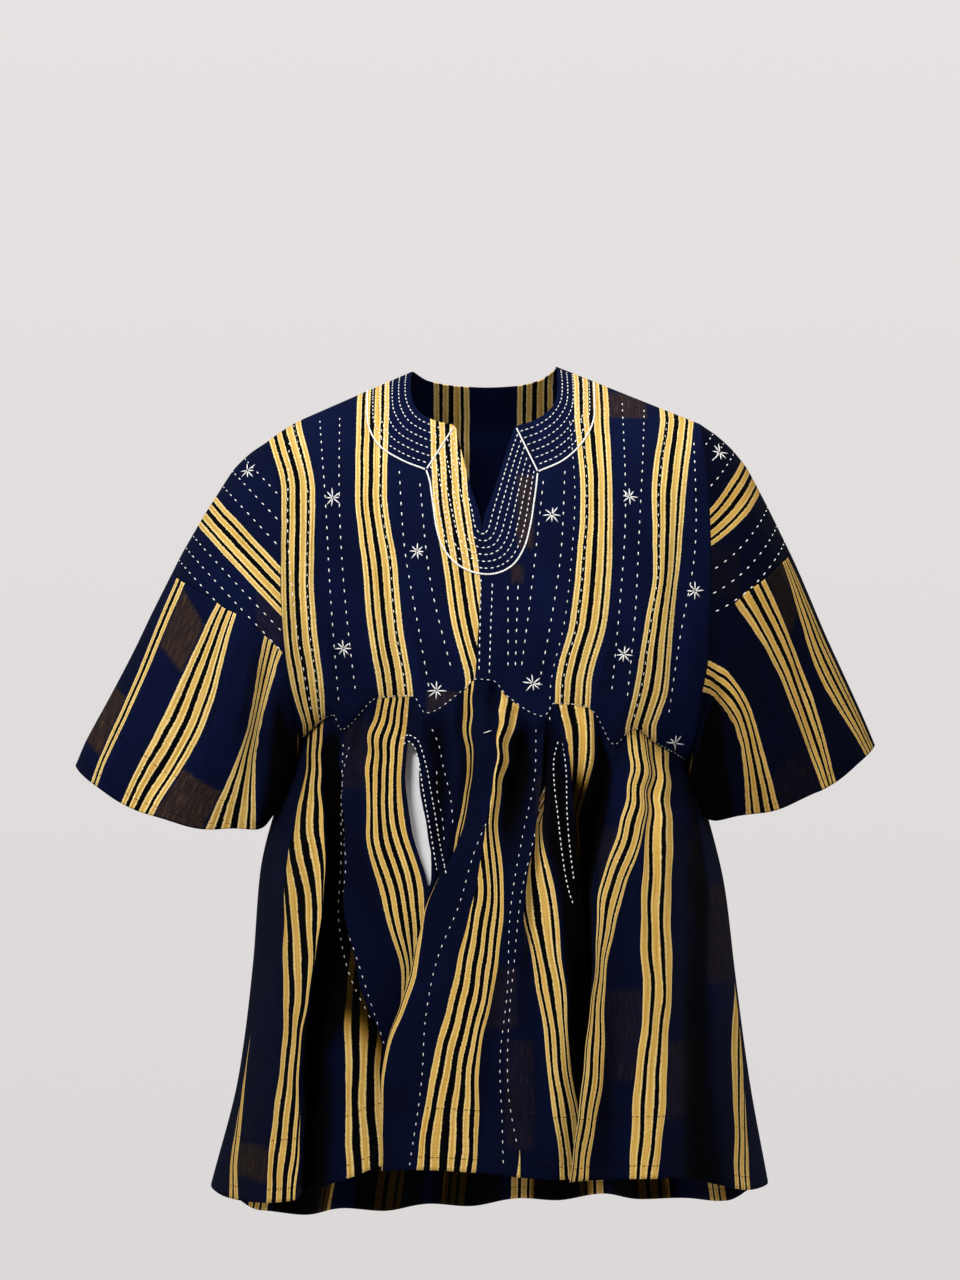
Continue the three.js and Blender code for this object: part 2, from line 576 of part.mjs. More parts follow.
// The slit as a long lens, standing through the front of the skirt.
function slitCutter() {
  const [top, foot] = [new THREE.Vector2(...POCKET.top), new THREE.Vector2(...POCKET.foot)];
  const sideways = foot.clone().sub(top).rotateAround(new THREE.Vector2(), Math.PI / 2).normalize();
  const middle = top.clone().lerp(foot, 0.5);
  const reach = (amount) => middle.clone().addScaledVector(sideways, amount * POCKET.width);
  const shape = new THREE.Shape();
  shape.moveTo(top.x, top.y);
  shape.quadraticCurveTo(reach(1).x, reach(1).y, foot.x, foot.y);
  shape.quadraticCurveTo(reach(-1).x, reach(-1).y, top.x, top.y);
  const settings = { depth: POCKET.cutDepth, bevelEnabled: false, curveSegments: 6 };
  const cutter = new THREE.ExtrudeGeometry(shape, settings);
  cutter.rotateX(Math.PI / 2);
  cutter.translate(0, POCKET.cutFrom, 0);
  return cutter;
}

// The lining behind the slit: the skirt's own points, moved in behind its wall, with room for a hand.
function pocketLining() {
  const cloth = skirtGrid(FRONT_GATHERS, 'front');
  const points = part(cloth, POCKET);
  const normals = part(outward(cloth, false, 1), POCKET);
  const bulge = (i, count) => Math.sin((Math.PI * i) / (count - 1));
  const inside = points.map((row, i) => row.map((point, j) => {
    const sag = POCKET.sag * bulge(i, points.length) * bulge(j, row.length);
    return point.clone().addScaledVector(normals[i][j], -(WALL + POCKET.clearance + sag));
  }));
  return wall(inside, { facing: 1, thickness: POCKET.lining });
}

const smock = new THREE.Group();
smock.add(piece('front_bodice_right', frontBodice('right'), STRIPED));
smock.add(piece('front_bodice_left', frontBodice('left'), STRIPED));
smock.add(piece('back_bodice', backBodice(), STRIPED));
for (const side of ['right', 'left']) {
  smock.add(piece(`sleeve_cap_${side}`, sleeveCap(side), NAVY));
  smock.add(piece(`sleeve_${side}`, lowerSleeve(side), STRIPED));
}
const slit = solid(slitCutter());
smock.add(piece('skirt_front', fromSolid(solid(skirt(FRONT_GATHERS, 'front')).subtract(slit)), NAVY));
smock.add(piece('skirt_back', skirt(BACK_GATHERS, 'back'), NAVY));
smock.add(piece('pocket_lining_right', pocketLining(), LINING));

export default smock;
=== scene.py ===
# %% [markdown]
# # A fugu smock
# This lesson dresses a plain CAD shell of a smock in its real cloth. A fugu is sewn from narrow
# hand-woven cotton strips, navy with groups of gold and black warp threads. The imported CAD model
# is loaded first and stays still: it gives the size, and every piece rides on its one body.

# %% Load the frame
import math
import bpy
import bmesh
import numpy as np
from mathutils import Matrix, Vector
from mathutils.bvhtree import BVHTree


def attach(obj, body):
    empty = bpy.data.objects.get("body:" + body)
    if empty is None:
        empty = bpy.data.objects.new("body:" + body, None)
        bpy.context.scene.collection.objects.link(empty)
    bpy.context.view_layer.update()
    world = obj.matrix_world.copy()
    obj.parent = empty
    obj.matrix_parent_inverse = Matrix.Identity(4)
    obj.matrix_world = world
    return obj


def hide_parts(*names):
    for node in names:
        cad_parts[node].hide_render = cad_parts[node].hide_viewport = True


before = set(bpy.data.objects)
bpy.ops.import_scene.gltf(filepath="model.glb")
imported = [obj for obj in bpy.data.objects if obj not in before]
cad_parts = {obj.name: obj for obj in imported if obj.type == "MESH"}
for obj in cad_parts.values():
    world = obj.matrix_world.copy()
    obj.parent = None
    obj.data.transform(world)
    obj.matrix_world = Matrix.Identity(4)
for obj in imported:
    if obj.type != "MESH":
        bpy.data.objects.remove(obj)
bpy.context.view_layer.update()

MM = 0.001
# thickness of the cloth, in mm
CLOTH = 1.2

# %% [markdown]
# ## Camera and studio
# A portrait of a garment is taken from far away with a long lens, so that near folds don't look
# bigger than far ones. The camera stands level with the middle of the picture. The floor is where
# the wearer's feet would be, small enough to stay below the picture, and soft lamps give light.

# %% Camera
camera_data = bpy.data.cameras.new("camera")
camera_data.lens = 120
camera_data.sensor_width = 36
camera = bpy.data.objects.new("camera", camera_data)
camera.location = (-0.007, -4.267, -0.268)
camera.rotation_euler = (math.radians(90), 0, 0)
bpy.context.scene.collection.objects.link(camera)
bpy.context.scene.camera = camera
bpy.context.scene.view_settings.view_transform = "Standard"
print("camera", camera_data.lens, "mm lens,", round(-camera.location.y, 2), "m away")


# %% Lamps
MIDDLE = (0, 0, -0.35)


# A round soft lamp that points at the middle of the smock, with its size in m and its power in W.
def lamp(name, place, size, power):
    data = bpy.data.lights.new(name, "AREA")
    data.shape = "DISK"
    data.size = size
    data.energy = power
    light = bpy.data.objects.new(name, data)
    light.location = place
    direction = Vector(MIDDLE) - Vector(place)
    light.rotation_euler = direction.to_track_quat("-Z", "Y").to_euler()
    bpy.context.scene.collection.objects.link(light)
    return light


LAMPS = [
    lamp("key", (-1.3, -2.4, 1.9), 1.1, 96),
    lamp("fill", (2.2, -2.2, 1.0), 1.4, 34),
    lamp("top", (0.1, -0.5, 2.4), 1.2, 34),
    lamp("rim_right", (2.2, 1.8, 0.6), 1.2, 8),
    lamp("rim_left", (-2.2, 1.8, 0.6), 1.2, 8),
]
print("lamps", {light.name: light.data.energy for light in LAMPS}, "W")

# %% [markdown]
# ## Backdrop
# The backdrop is pale paper that the camera sees with a soft rise in lightness, from the world's
# own shader. The smock itself is lit by a plain, weak version of the same paper.

# %% Backdrop light
BACKDROP = (0.745, 0.725, 0.725, 1)
BACKDROP_LOW = (0.705, 0.68, 0.68, 1)
BACKDROP_HIGH = (0.79, 0.76, 0.755, 1)
# how far down and up the two tones lie, as the height of a view ray, and the light of the backdrop
BACKDROP_SPAN = (-0.16, 0.14)
BACKDROP_LIGHT = 0.2
world = bpy.data.worlds.new("studio")
bpy.context.scene.world = world
world.use_nodes = True
sky = world.node_tree.nodes
sky.clear()
seen = sky.new("ShaderNodeBackground")
way = sky.new("ShaderNodeTexCoord")
height = sky.new("ShaderNodeSeparateXYZ")
rise = sky.new("ShaderNodeMapRange")
rise.inputs["From Min"].default_value, rise.inputs["From Max"].default_value = BACKDROP_SPAN
shades = sky.new("ShaderNodeMix")
shades.data_type = "RGBA"
shades.inputs[6].default_value = BACKDROP_LOW
shades.inputs[7].default_value = BACKDROP_HIGH
soft = sky.new("ShaderNodeBackground")
soft.inputs["Color"].default_value = BACKDROP
soft.inputs["Strength"].default_value = BACKDROP_LIGHT
ray = sky.new("ShaderNodeLightPath")
either = sky.new("ShaderNodeMixShader")
result = sky.new("ShaderNodeOutputWorld")
wire = world.node_tree.links.new
wire(way.outputs["Generated"], height.inputs[0])
wire(height.outputs[2], rise.inputs[0])
wire(rise.outputs[0], shades.inputs[0])
wire(shades.outputs[2], seen.inputs["Color"])
wire(ray.outputs["Is Camera Ray"], either.inputs["Fac"])
wire(soft.outputs[0], either.inputs[1])
wire(seen.outputs[0], either.inputs[2])
wire(either.outputs[0], result.inputs["Surface"])
print("backdrop", len(sky), "nodes")

# %% [markdown]
# ## Smooth lines and soft steps
# Everything on the smock follows a few tables of sizes in millimetres. A smooth line through a
# table's rows must never swing past them, or the cloth would bulge where no row says so, so its
# slope is worked out from the rows on both sides and is flat at every peak.


# %% Smooth lines
# The slope at each knot of a smooth line, whose knots lie along the last axis of values.
def knot_slopes(values, width):
    steps = np.diff(values, axis=-1) / width
    slope = np.zeros_like(values)
    slope[..., 0], slope[..., -1] = steps[..., 0], steps[..., -1]
    total = steps[..., :-1] + steps[..., 1:]
    product = steps[..., :-1] * steps[..., 1:]
    slope[..., 1:-1] = np.where(product > 0, 2 * product / np.where(total == 0, 1, total), 0)
    return slope


# A smooth curve from start to end over span, at the share s of it, with a slope at each end.
def curve(start, end, leave, arrive, span, s):
    bend = leave * span * s * (1 - s) ** 2 - arrive * span * s * s * (1 - s)
    return start + (end - start) * s * s * (3 - 2 * s) + bend


# A function that gives the line's value at any place, from its values at the knots.
def smooth_line(knots, values):
    knots = np.asarray(knots, float)
    values = np.asarray(values, float)
    width = np.diff(knots)
    slope = np.moveaxis(knot_slopes(np.moveaxis(values, 0, -1), width), -1, 0)

    def line(at):
        at = np.asarray(at, float)
        i = np.clip(np.searchsorted(knots, at, side="right") - 1, 0, len(knots) - 2)
        span = width[i]
        s = np.clip((at - knots[i]) / span, 0, 1)
        if values.ndim > 1:
            span = span[..., None]
            s = s[..., None]
        return curve(values[i], values[i + 1], slope[i], slope[i + 1], span, s)

    return line


print("half way between the first two of 0, 4, 5:", float(smooth_line((0, 1, 2), (0, 4, 5))(0.5)))


# %% Soft steps and folds
def mix(a, b, share):
    return a + (b - a) * share


def ease(low, high, value):
    share = np.clip((value - low) / (high - low), 0, 1)
    return share * share * (3 - 2 * share)


# Sum of soft folds, each a line from (x0, z0) to (x1, z1) with a width and a height. A height
# above 0 stands out from the cloth, and one below 0 is a trough. It fades out at both ends.
def folds(x, z, table):
    total = np.zeros_like(x)
    for x0, z0, x1, z1, width, height in table:
        dx, dz = x1 - x0, z1 - z0
        length = math.hypot(dx, dz)
        along = ((x - x0) * dx + (z - z0) * dz) / length**2
        off = ((x - x0) * dz - (z - z0) * dx) / length
        fade = ease(-0.12, 0.3, along) * ease(1.12, 0.7, along)
        total += height * fade * np.exp(-((off / width) ** 2))
    return total


print("a soft step from 0 to 1, a quarter of the way:", float(ease(0, 1, 0.25)))

# %% [markdown]
# ## The weaver's chart
# A few kinds of strip make the cloth. A narrow one is 80 mm wide and carries four gold lines with
# black between them. A broad one is 97 mm wide with three wider gold lines. The skirt also has a
# full group of five lines and an open one whose black lines are wider than the gold, and a pair is
# what shows of a strip half hidden by a seam. The chart gives each kind's lines in mm across the
# strip. Each kind has its own stretch of one long ruler, and past the last is plain navy.

# %% Chart
# where each kind starts on the ruler, the length of its stretch, and the width of a strip
NARROW, BROAD, FULL, OPEN, PAIR, PLAIN = 0, 100, 300, 400, 500, 800
STRETCH = 100
NARROW_WIDTH, BROAD_WIDTH = 80, 97
# how far past its seam a strip's island reaches in the UV map
PAST_SEAM = 8
GOLD_LINES = {
    NARROW: ((46, 51), (54.5, 60), (65, 71.5), (75, 80)),
    BROAD: ((62, 70), (74.5, 82.5), (87, 95)),
    FULL: ((0, 6.5), (12, 19), (25.5, 31), (37, 43), (49, 56)),
    OPEN: ((0, 5.5), (11.5, 17), (23.5, 29), (34.5, 39)),
    PAIR: ((64, 69.5), (74.5, 80)),
}
print("gold lines in each kind of strip", [len(lines) for lines in GOLD_LINES.values()])

# %% [markdown]
# ## A cloth sheet from a grid
# Each piece of the smock is one grid of points bent into the worn shape. bmesh makes the grid, and
# a function of row and column says where every point goes. The pattern is woven in strips, so each
# strip gets its own island in the UV map, measured in metres of cloth: U across the strip, V along
# it. Solidify then gives the sheet the thickness of the cloth, inwards.

# %% Bent grid
# A flat bmesh grid, bent to points, which is rows x columns x 3 in mm. It also gives the row and the
# column of each vertex.
def bent_grid(name, points):
    rows, columns = points.shape[:2]
    bm = bmesh.new()
    bmesh.ops.create_grid(bm, x_segments=columns - 1, y_segments=rows - 1, size=1)
    mesh = bpy.data.meshes.new(name)
    bm.to_mesh(mesh)
    bm.free()
    flat = np.empty(len(mesh.vertices) * 3)
    mesh.vertices.foreach_get("co", flat)
    flat = flat.reshape(-1, 3)
    column = np.rint((flat[:, 0] + 1) / 2 * (columns - 1)).astype(int)
    row = np.rint((1 - flat[:, 1]) / 2 * (rows - 1)).astype(int)
    mesh.vertices.foreach_set("co", (points[row, column] * MM).ravel())
    return mesh, row, column


# The strips' islands in the UV map. lay is U at both sides of each column of faces and every face's
# own shift along the chart, and height gives V, all in mm. It also gives each face's first row and
# column in the grid.
def lay_islands(mesh, row, column, lay, height):
    left, right, shift = lay
    corner = np.empty(len(mesh.loops), int)
    mesh.loops.foreach_get("vertex_index", corner)
    start = np.empty(len(mesh.polygons), int)
    mesh.polygons.foreach_get("loop_start", start)
    row, column = row[corner], column[corner]
    first_row, first = np.minimum.reduceat(row, start), np.minimum.reduceat(column, start)
    face = np.repeat(np.arange(len(start)), len(corner) // len(start))
    on_left = column == first[face]
    u = np.where(on_left, left[row, first[face]], right[row, first[face]])
    u = u + shift[first_row, first][face]
    layer = mesh.uv_layers.new(name="cloth")
    layer.data.foreach_set("uv", (np.stack([u, height[row, column]], axis=1) * MM).ravel())
    return first_row, first


trial, _, _ = bent_grid("trial", np.zeros((3, 4, 3)))
print("a grid of 3 by 4 points has", len(trial.polygons), "faces")
bpy.data.meshes.remove(trial)


# %% Cloth on the grid
# Cuts the numbered faces out, joins a tube along its seam, and turns the right side to the outside.
def finish_faces(mesh, cut, closed, outside):
    bm = bmesh.new()
    bm.from_mesh(mesh)
    bm.faces.ensure_lookup_table()
    bmesh.ops.delete(bm, geom=[bm.faces[i] for i in cut], context="FACES")
    if closed:
        bmesh.ops.remove_doubles(bm, verts=bm.verts, dist=1e-6)
    bm.normal_update()
    facing = sum(f.normal.dot(outside(f.calc_center_median())) for f in bm.faces)
    if facing < 0:
        bmesh.ops.reverse_faces(bm, faces=bm.faces)
    for f in bm.faces:
        f.smooth = True
    bm.to_mesh(mesh)
    bm.free()


# A sheet of cloth through the points. weft is how brown the cloth is at each one, and hollow is how
# much painted shade darkens it there. outside is the direction that the right side must face at a
# point. holes marks the faces of the pocket slit.
def sheet(name, points, lay, height, weft, hollow, outside, closed=False, holes=None):
    mesh, row, column = bent_grid(name, points)
    first_row, first = lay_islands(mesh, row, column, lay, height)
    for kind, values in (("weft", weft), ("hollow", hollow)):
        layer = mesh.attributes.new(kind, "FLOAT", "POINT")
        layer.data.foreach_set("value", values[row, column].astype(np.float32))
    cut = [] if holes is None else np.nonzero(holes[first_row, first])[0]
    finish_faces(mesh, cut, closed, outside)
    piece = bpy.data.objects.new(name, mesh)
    bpy.context.scene.collection.objects.link(piece)
    return piece


# The cloth's thickness in mm, inwards from its right side.
def thicken(piece, thickness=CLOTH):
    wall = piece.modifiers.new("cloth", "SOLIDIFY")
    wall.thickness = thickness * MM
    wall.offset = -1
    wall.use_rim = True


print("the cloth is", CLOTH, "mm thick")


# %% Strips
# U of every column of faces, from U of the points and the strips' seams: a strip is (from, to,
# pattern), and the pattern says where the strip's own pattern starts in the weaver's chart. The
# islands change a little past each seam, in plain navy, so no gold line is cut by the grid.
def strips_of(u, strips):
    middle = (u[:, :-1] + u[:, 1:]) / 2 - PAST_SEAM
    shift = np.zeros_like(middle)
    for start, end, pattern in strips:
        shift[(middle >= start) & (middle < end)] = pattern - start
    return u[:, :-1], u[:, 1:], shift


# Strips of one kind side by side, the first one as many strips from U = 0 as first says.
def strip_row(first, count, pattern=NARROW, width=NARROW_WIDTH):
    return tuple((k * width, k * width + width, pattern) for k in range(first, first + count))


print("two narrow strips", strip_row(0, 2))


# %% Shade and dress
# How much painted shade the cloth gets in a fold, from 0 to 1, from its distance behind the cloth on
# both sides of it.
def fold_shade_of(stand_out, reach=25, shallow=1, deep=15):
    near = np.pad(stand_out, ((0, 0), (reach * 2, reach * 2)), mode="edge")
    width = stand_out.shape[1]
    before = np.max([near[:, k:k + width] for k in range(reach * 2)], axis=0)
    after = np.max([near[:, reach * 2 + k:reach * 2 + k + width] for k in range(reach * 2)], axis=0)
    return ease(shallow, deep, np.minimum(before, after) - stand_out)


STRIPED = []
SHEETS = {}


# Gives a striped piece its thickness, and says which of the frame's solids it takes the place of.
def dress(piece, node, points):
    thicken(piece)
    SHEETS[piece.name] = points
    STRIPED.append(piece)
    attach(piece, "root")
    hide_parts(node)
    return piece


trial = fold_shade_of(np.array([[10.0, 0.0, 10.0]]))
print("shade of a hollow 10 mm deep:", round(float(trial[0, 1]), 2))

# %% [markdown]
# ## The body's form
# These are the same driving sizes as the CAD source has: the slope of the shoulders, the depth of
# the body front and back, the armholes, and the shape of the neck and slit.

# %% Body tables
# steps from the shoulder down to the underarm, and half the depth of the armhole
ARM_STEPS, ARMHOLE_DEPTH = 14, 66
# how square the body is from side to side: 2 would be an ellipse
SQUARENESS = 2.6
# height of the shoulders at the middle, and how far down they are rounded
SHOULDER_CREST, SHOULDER_ROUND = 33, 90
SHOULDER_FALL = {"right": 0.435, "left": 0.4}
# past this X each shoulder rounds down by so much times the square of the distance
SHOULDER_END, SHOULDER_DROP = 180, {"right": 0.0046, "left": 0}
# (X, Z) of the ends of each armhole and cuff, how far the cuff's front and back reach out, and the
# step at which the cap ends
ARMS = {
    "right": dict(side=-1, top=(-219, -69.3), under=(-187, -368), outer=(-409, -395),
                  inner=(-227, -441), front=(16, -62, -32), back=(4, 62, 4), cap=9),
    "left": dict(side=1, top=(213, -52.2), under=(202, -391), outer=(388, -373),
                 inner=(238, -438), front=(-12, -62, -24), back=(-4, 62, 4), cap=8),
}
# how far down each armhole is, from 0 at the shoulder to 1, and how far it bows out there
ARMHOLE_BOW = {
    "right": ((0, 0), (0.1, -5), (0.17, -8), (0.37, -4.2), (0.53, 1), (0.7, 2.6), (0.86, 1.6),
              (1, 0)),
    "left": ((0, 0), (0.25, 9.5), (0.5, 13), (0.67, 13), (0.81, 7.5), (0.93, 4), (1, 0)),
}
# height, and the depth of the front and of the back there
BODY_DEPTH = ((-420, 140, 128), (-290, 140, 128), (-200, 132, 126), (-120, 112, 116),
              (-60, 86, 94), (0, 72, 64), (40, 66, 60))
# (X, Z) of the inner edge of the right half and of the left half, at each step
FRONT_EDGE = (
    (-75, 1.5, 69, 4), (-76, -14, 70, -13), (-74, -30, 68, -30), (-66, -44, 60, -43),
    (-50, -53, 45, -53), (-32, -58, 28, -59), (-26, -80, 20, -80), (-17, -115, 9, -115),
    (-5, -160, -5, -160), (-5.5, -195, -5.5, -195), (-7, -232, -7, -232), (-9, -264, -9, -264),
    (-10.5, -288, -10.5, -288), (-11.5, -302, -11.5, -302), (-12, -307, -12, -307),
)
# (X, Z) along the back of the neck, and along the yoke seam in front and behind
BACK_NECK = ((-75, 1.5), (-58, -7), (-30, -11), (0, -12), (28, -11), (53, -6), (69, 4))
FRONT_YOKE = ((-187, -368), (-151, -343), (-144, -357), (-106, -325), (-72, -323), (-60, -340),
              (-23, -317), (-12, -307), (5, -308), (20, -324), (55, -343), (65, -330), (98, -334),
              (106, -342), (124, -371), (143, -355), (166, -370), (186, -381), (202, -391))
BACK_YOKE = ((-187, -368), (-150, -352), (-126, -342), (-92, -330), (-62, -336), (-30, -318),
             (4, -325), (36, -316), (70, -333), (102, -335), (132, -352), (160, -360),
             (184, -378), (202, -391))
print("neck", BACK_NECK[-1][0] - BACK_NECK[0][0], "mm wide, slit down to", FRONT_EDGE[8][1])


# %% Body form
def columns_of(table, *which):
    return [np.array([row[i] for row in table], float) for i in which]


body_z, front_depths, back_depths = columns_of(BODY_DEPTH, 0, 1, 2)
DEPTH = {"front": smooth_line(body_z, front_depths), "back": smooth_line(body_z, back_depths)}
YOKE = {"front": smooth_line(*columns_of(FRONT_YOKE, 0, 1)),
        "back": smooth_line(*columns_of(BACK_YOKE, 0, 1))}


# Height of the shoulder at x.
def shoulder_z(x):
    on_right = np.asarray(x) < 0
    fall = np.where(on_right, SHOULDER_FALL["right"], SHOULDER_FALL["left"])
    drop = np.where(on_right, SHOULDER_DROP["right"], SHOULDER_DROP["left"])
    return SHOULDER_CREST - fall * np.abs(x) - drop * np.maximum(0, np.abs(x) - SHOULDER_END) ** 2


# How far down the armhole a step round it is, from 0 to 1.
def down_at(step):
    return (1 - np.cos(np.pi * step / ARM_STEPS)) / 2


BOW = {side: smooth_line(*columns_of(table, 0, 1)) for side, table in ARMHOLE_BOW.items()}


# X of the armhole there.
def arm_x(arm, down):
    bow = BOW["right" if arm["side"] < 0 else "left"](down)
    return mix(arm["top"][0], arm["under"][0], down) + arm["side"] * bow


# How far in front of or behind the shoulder line the cloth lies at a point.
def body_depth(x, z, step, face):
    down = down_at(step)
    low, high = arm_x(ARMS["right"], down), arm_x(ARMS["left"], down)
    across = np.abs(x - (low + high) / 2) / ((high - low) / 2)
    edge = np.minimum(1, across) ** SQUARENESS
    below = np.clip((shoulder_z(x) - z) / SHOULDER_ROUND, 0, 1)
    rounded = np.sqrt(1 - (1 - below) ** 2)
    arm = ARMHOLE_DEPTH * np.sin(np.pi * step / ARM_STEPS)
    return mix(DEPTH[face](z) * rounded, arm, edge)


print("chest", round(float(DEPTH["front"](-200) + DEPTH["back"](-200))), "mm deep")

# %% [markdown]
# ## The yoke: two front halves and a back
# The yoke is the flat upper part, from the shoulders to the scalloped seam where the skirt is
# gathered on. Its strips run down, so U goes across. The tables below say where each group of gold
# lines lies at four heights, because the cloth leans and pulls a little as it is worn.

# %% Yoke tables
YOKE_LEVELS = (-352, -312, -250, -200, -125, -50)
# cloth U of the edges of each group of gold lines, and X there at each level
RIGHT_GROUPS = (
    (46, -183, -194, -202, -203, -203, -224),
    (80, -160, -161, -168, -170, -169, -186),
    (126, -103, -107, -117, -121, -129, -129),
    (160, -71, -73, -83, -87, -98, -97),
    (206, -21, -21, -35, -42, -53, -56),
    (240, 13, 13, -1, -8, -19, -22),
)
LEFT_GROUPS = (
    (-40, -12, -12, -9, -7, -5, -3),
    (46, 65, 66, 80, 86, 91, 86),
    (80, 99, 101, 116, 121, 122, 120),
    (126, 135, 144, 154, 162, 161, 172),
    (160, 166, 178, 182, 188, 195, 206),
    (206, 225, 225, 232, 239, 242, 253),
)
RIGHT_STRIPS = ((-80, 0, PLAIN),) + strip_row(0, 3) + ((240, 400, PLAIN),)
LEFT_STRIPS = ((-200, 0, PLAIN),) + strip_row(0, 2) + ((160, 400, PLAIN),)
BACK_GROUP_PITCH = 85
# U where the back's first column lies, so that its strips are even about the neck
BACK_START = 5 * NARROW_WIDTH + 17
YOKE_ROWS = 120
FRONT_COLUMNS, BACK_COLUMNS = 90, 170
# half the columns on each side to compare, and how far behind them, in mm, the cloth lies where
# shade starts and where it is full
SHALLOW_FOLDS = (5, 1, 12)

# x0, z0, x1, z1, width, height of the soft folds of the yoke, front and back
FRONT_YOKE_FOLDS = (
    (-205, -130, -168, -330, 11, 3.2), (-186, -150, -150, -350, 9, -3.6),
    (-140, -90, -120, -300, 16, 2.2), (-105, -200, -112, -330, 9, -2.6),
    (-96, -210, -84, -325, 8, 2.4), (-60, -230, -58, -338, 9, -3),
    (-32, -235, -24, -318, 8, 2.6), (12, -240, 4, -312, 9, 3), (24, -230, 24, -326, 8, -2.4),
    (60, -250, 52, -345, 10, -3.2), (80, -180, 66, -332, 8, 2.8), (112, -60, 100, -300, 14, 2.4),
    (128, -240, 122, -372, 9, -3.6), (150, -230, 142, -356, 8, 2.6),
    (172, -120, 168, -330, 12, 3.4), (190, -140, 182, -376, 9, -3.4),
    (-150, -20, -120, -90, 14, -2.2), (140, -20, 118, -96, 14, -2.2),
)
BACK_YOKE_FOLDS = (
    (-170, -80, -150, -340, 12, 3), (-140, -180, -126, -345, 9, -3.4),
    (-96, -200, -92, -332, 9, 3), (-70, -60, -62, -330, 14, -2.6), (-30, -220, -30, -318, 8, 3),
    (0, -160, 4, -325, 11, -3), (38, -210, 36, -316, 8, 3), (74, -100, 70, -330, 13, -2.8),
    (108, -220, 102, -335, 8, 2.8), (140, -160, 132, -350, 10, -3.2),
    (180, -90, 162, -360, 12, 3), (-120, -20, -60, -70, 16, 2.4), (120, -20, 60, -70, 16, 2.4),
    (-60, -70, 60, -76, 14, -1.6),
)
# x from, x to, z from, z to, and how brown the weft is there
RIGHT_BLOCKS = ((-58, -26, -350, -318, 0.5),)
LEFT_BLOCKS = ((30, 44, -178, -108, 0.8), (24, 34, -212, -196, 0.7), (104, 158, -48, -22, 0.8))
BACK_BLOCKS = ((60, 118, -140, -96, 0.7), (-150, -110, -300, -250, 0.7))
print("yoke", FRONT_YOKE[-1][0] - FRONT_YOKE[0][0], "mm wide at the seam")


# %% Front of the yoke
# Points of one front half. Its rows run from the neck and the slit to the armhole.
def yoke_front(side):
    arm = ARMS[side]
    step = np.linspace(0, ARM_STEPS, YOKE_ROWS)[:, None]
    share = np.linspace(0, 1, FRONT_COLUMNS)[None, :]
    first = 0 if side == "right" else 2
    steps = np.arange(ARM_STEPS + 1)
    edge_x = smooth_line(steps, [row[first] for row in FRONT_EDGE])(step)
    edge_z = smooth_line(steps, [row[first + 1] for row in FRONT_EDGE])(step)
    down = down_at(step)
    arm_edge_x = arm_x(arm, down)
    arm_edge_z = mix(arm["top"][1], arm["under"][1], down)
    seam_x, seam_z = FRONT_EDGE[-1][first], FRONT_EDGE[-1][first + 1]
    yoke_x = mix(seam_x, arm["under"][0], share)
    x = mix(edge_x, arm_edge_x, share)
    level = mix(edge_z, arm_edge_z, share)
    chord = mix(seam_z, arm["under"][1], share)
    z = level + (YOKE["front"](yoke_x) - chord) * ease(0.5, 1, step / ARM_STEPS)
    top = ease(0.9, 0, step)
    z = mix(z, shoulder_z(x), top)
    y = -np.maximum(body_depth(x, z, step, "front"), 0.1)
    inside = ease(0, 0.06, share) * ease(1, 0.95, share) * ease(0, 1.5, step)
    y = y - folds(x, z, FRONT_YOKE_FOLDS) * inside
    return np.stack(np.broadcast_arrays(x, y, z), axis=2)


print("a front half has", yoke_front("right").shape[:2], "rows and columns")


# %% Strips on the yoke
# U at every point of a front half, from the places of its groups of gold lines.
def lay_strips(points, groups, strips):
    x, z = points[:, :, 0], points[:, :, 2]
    u_rows, *levels = columns_of(groups, *range(len(groups[0])))
    table = smooth_line(YOKE_LEVELS, np.array(levels))
    at = table(z)
    u = np.empty_like(x)
    for k in range(len(u_rows) - 1):
        low, high = at[..., k], at[..., k + 1]
        share = (x - low) / (high - low)
        value = mix(u_rows[k], u_rows[k + 1], share)
        chosen = x >= low if k else np.ones_like(x, bool)
        u = np.where(chosen, value, u)
    return strips_of(u, strips)


# %% Brown blocks and right sides
# How brown the weft is at each point, from a table of blocks, on the face where y has face's sign.
def brown(points, blocks, face=-1):
    x, y, z = (points[:, :, i] for i in range(3))
    total = np.zeros_like(x)
    for x0, x1, z0, z1, strength in blocks:
        across = ease(x0 - 2, x0 + 1, x) * ease(x1 + 2, x1 - 1, x)
        up = ease(z0 - 1.5, z0 + 1, z) * ease(z1 + 1.5, z1 - 1, z)
        total = np.maximum(total, across * up * strength * (y * face > 0))
    return total


# The way that the right side of a front or a back piece faces, the same at every point.
def front_outside(_):
    return Vector((0, -1, 0))


def back_outside(_):
    return Vector((0, 1, 0))


print("brown blocks on the yoke", len(RIGHT_BLOCKS + LEFT_BLOCKS + BACK_BLOCKS))


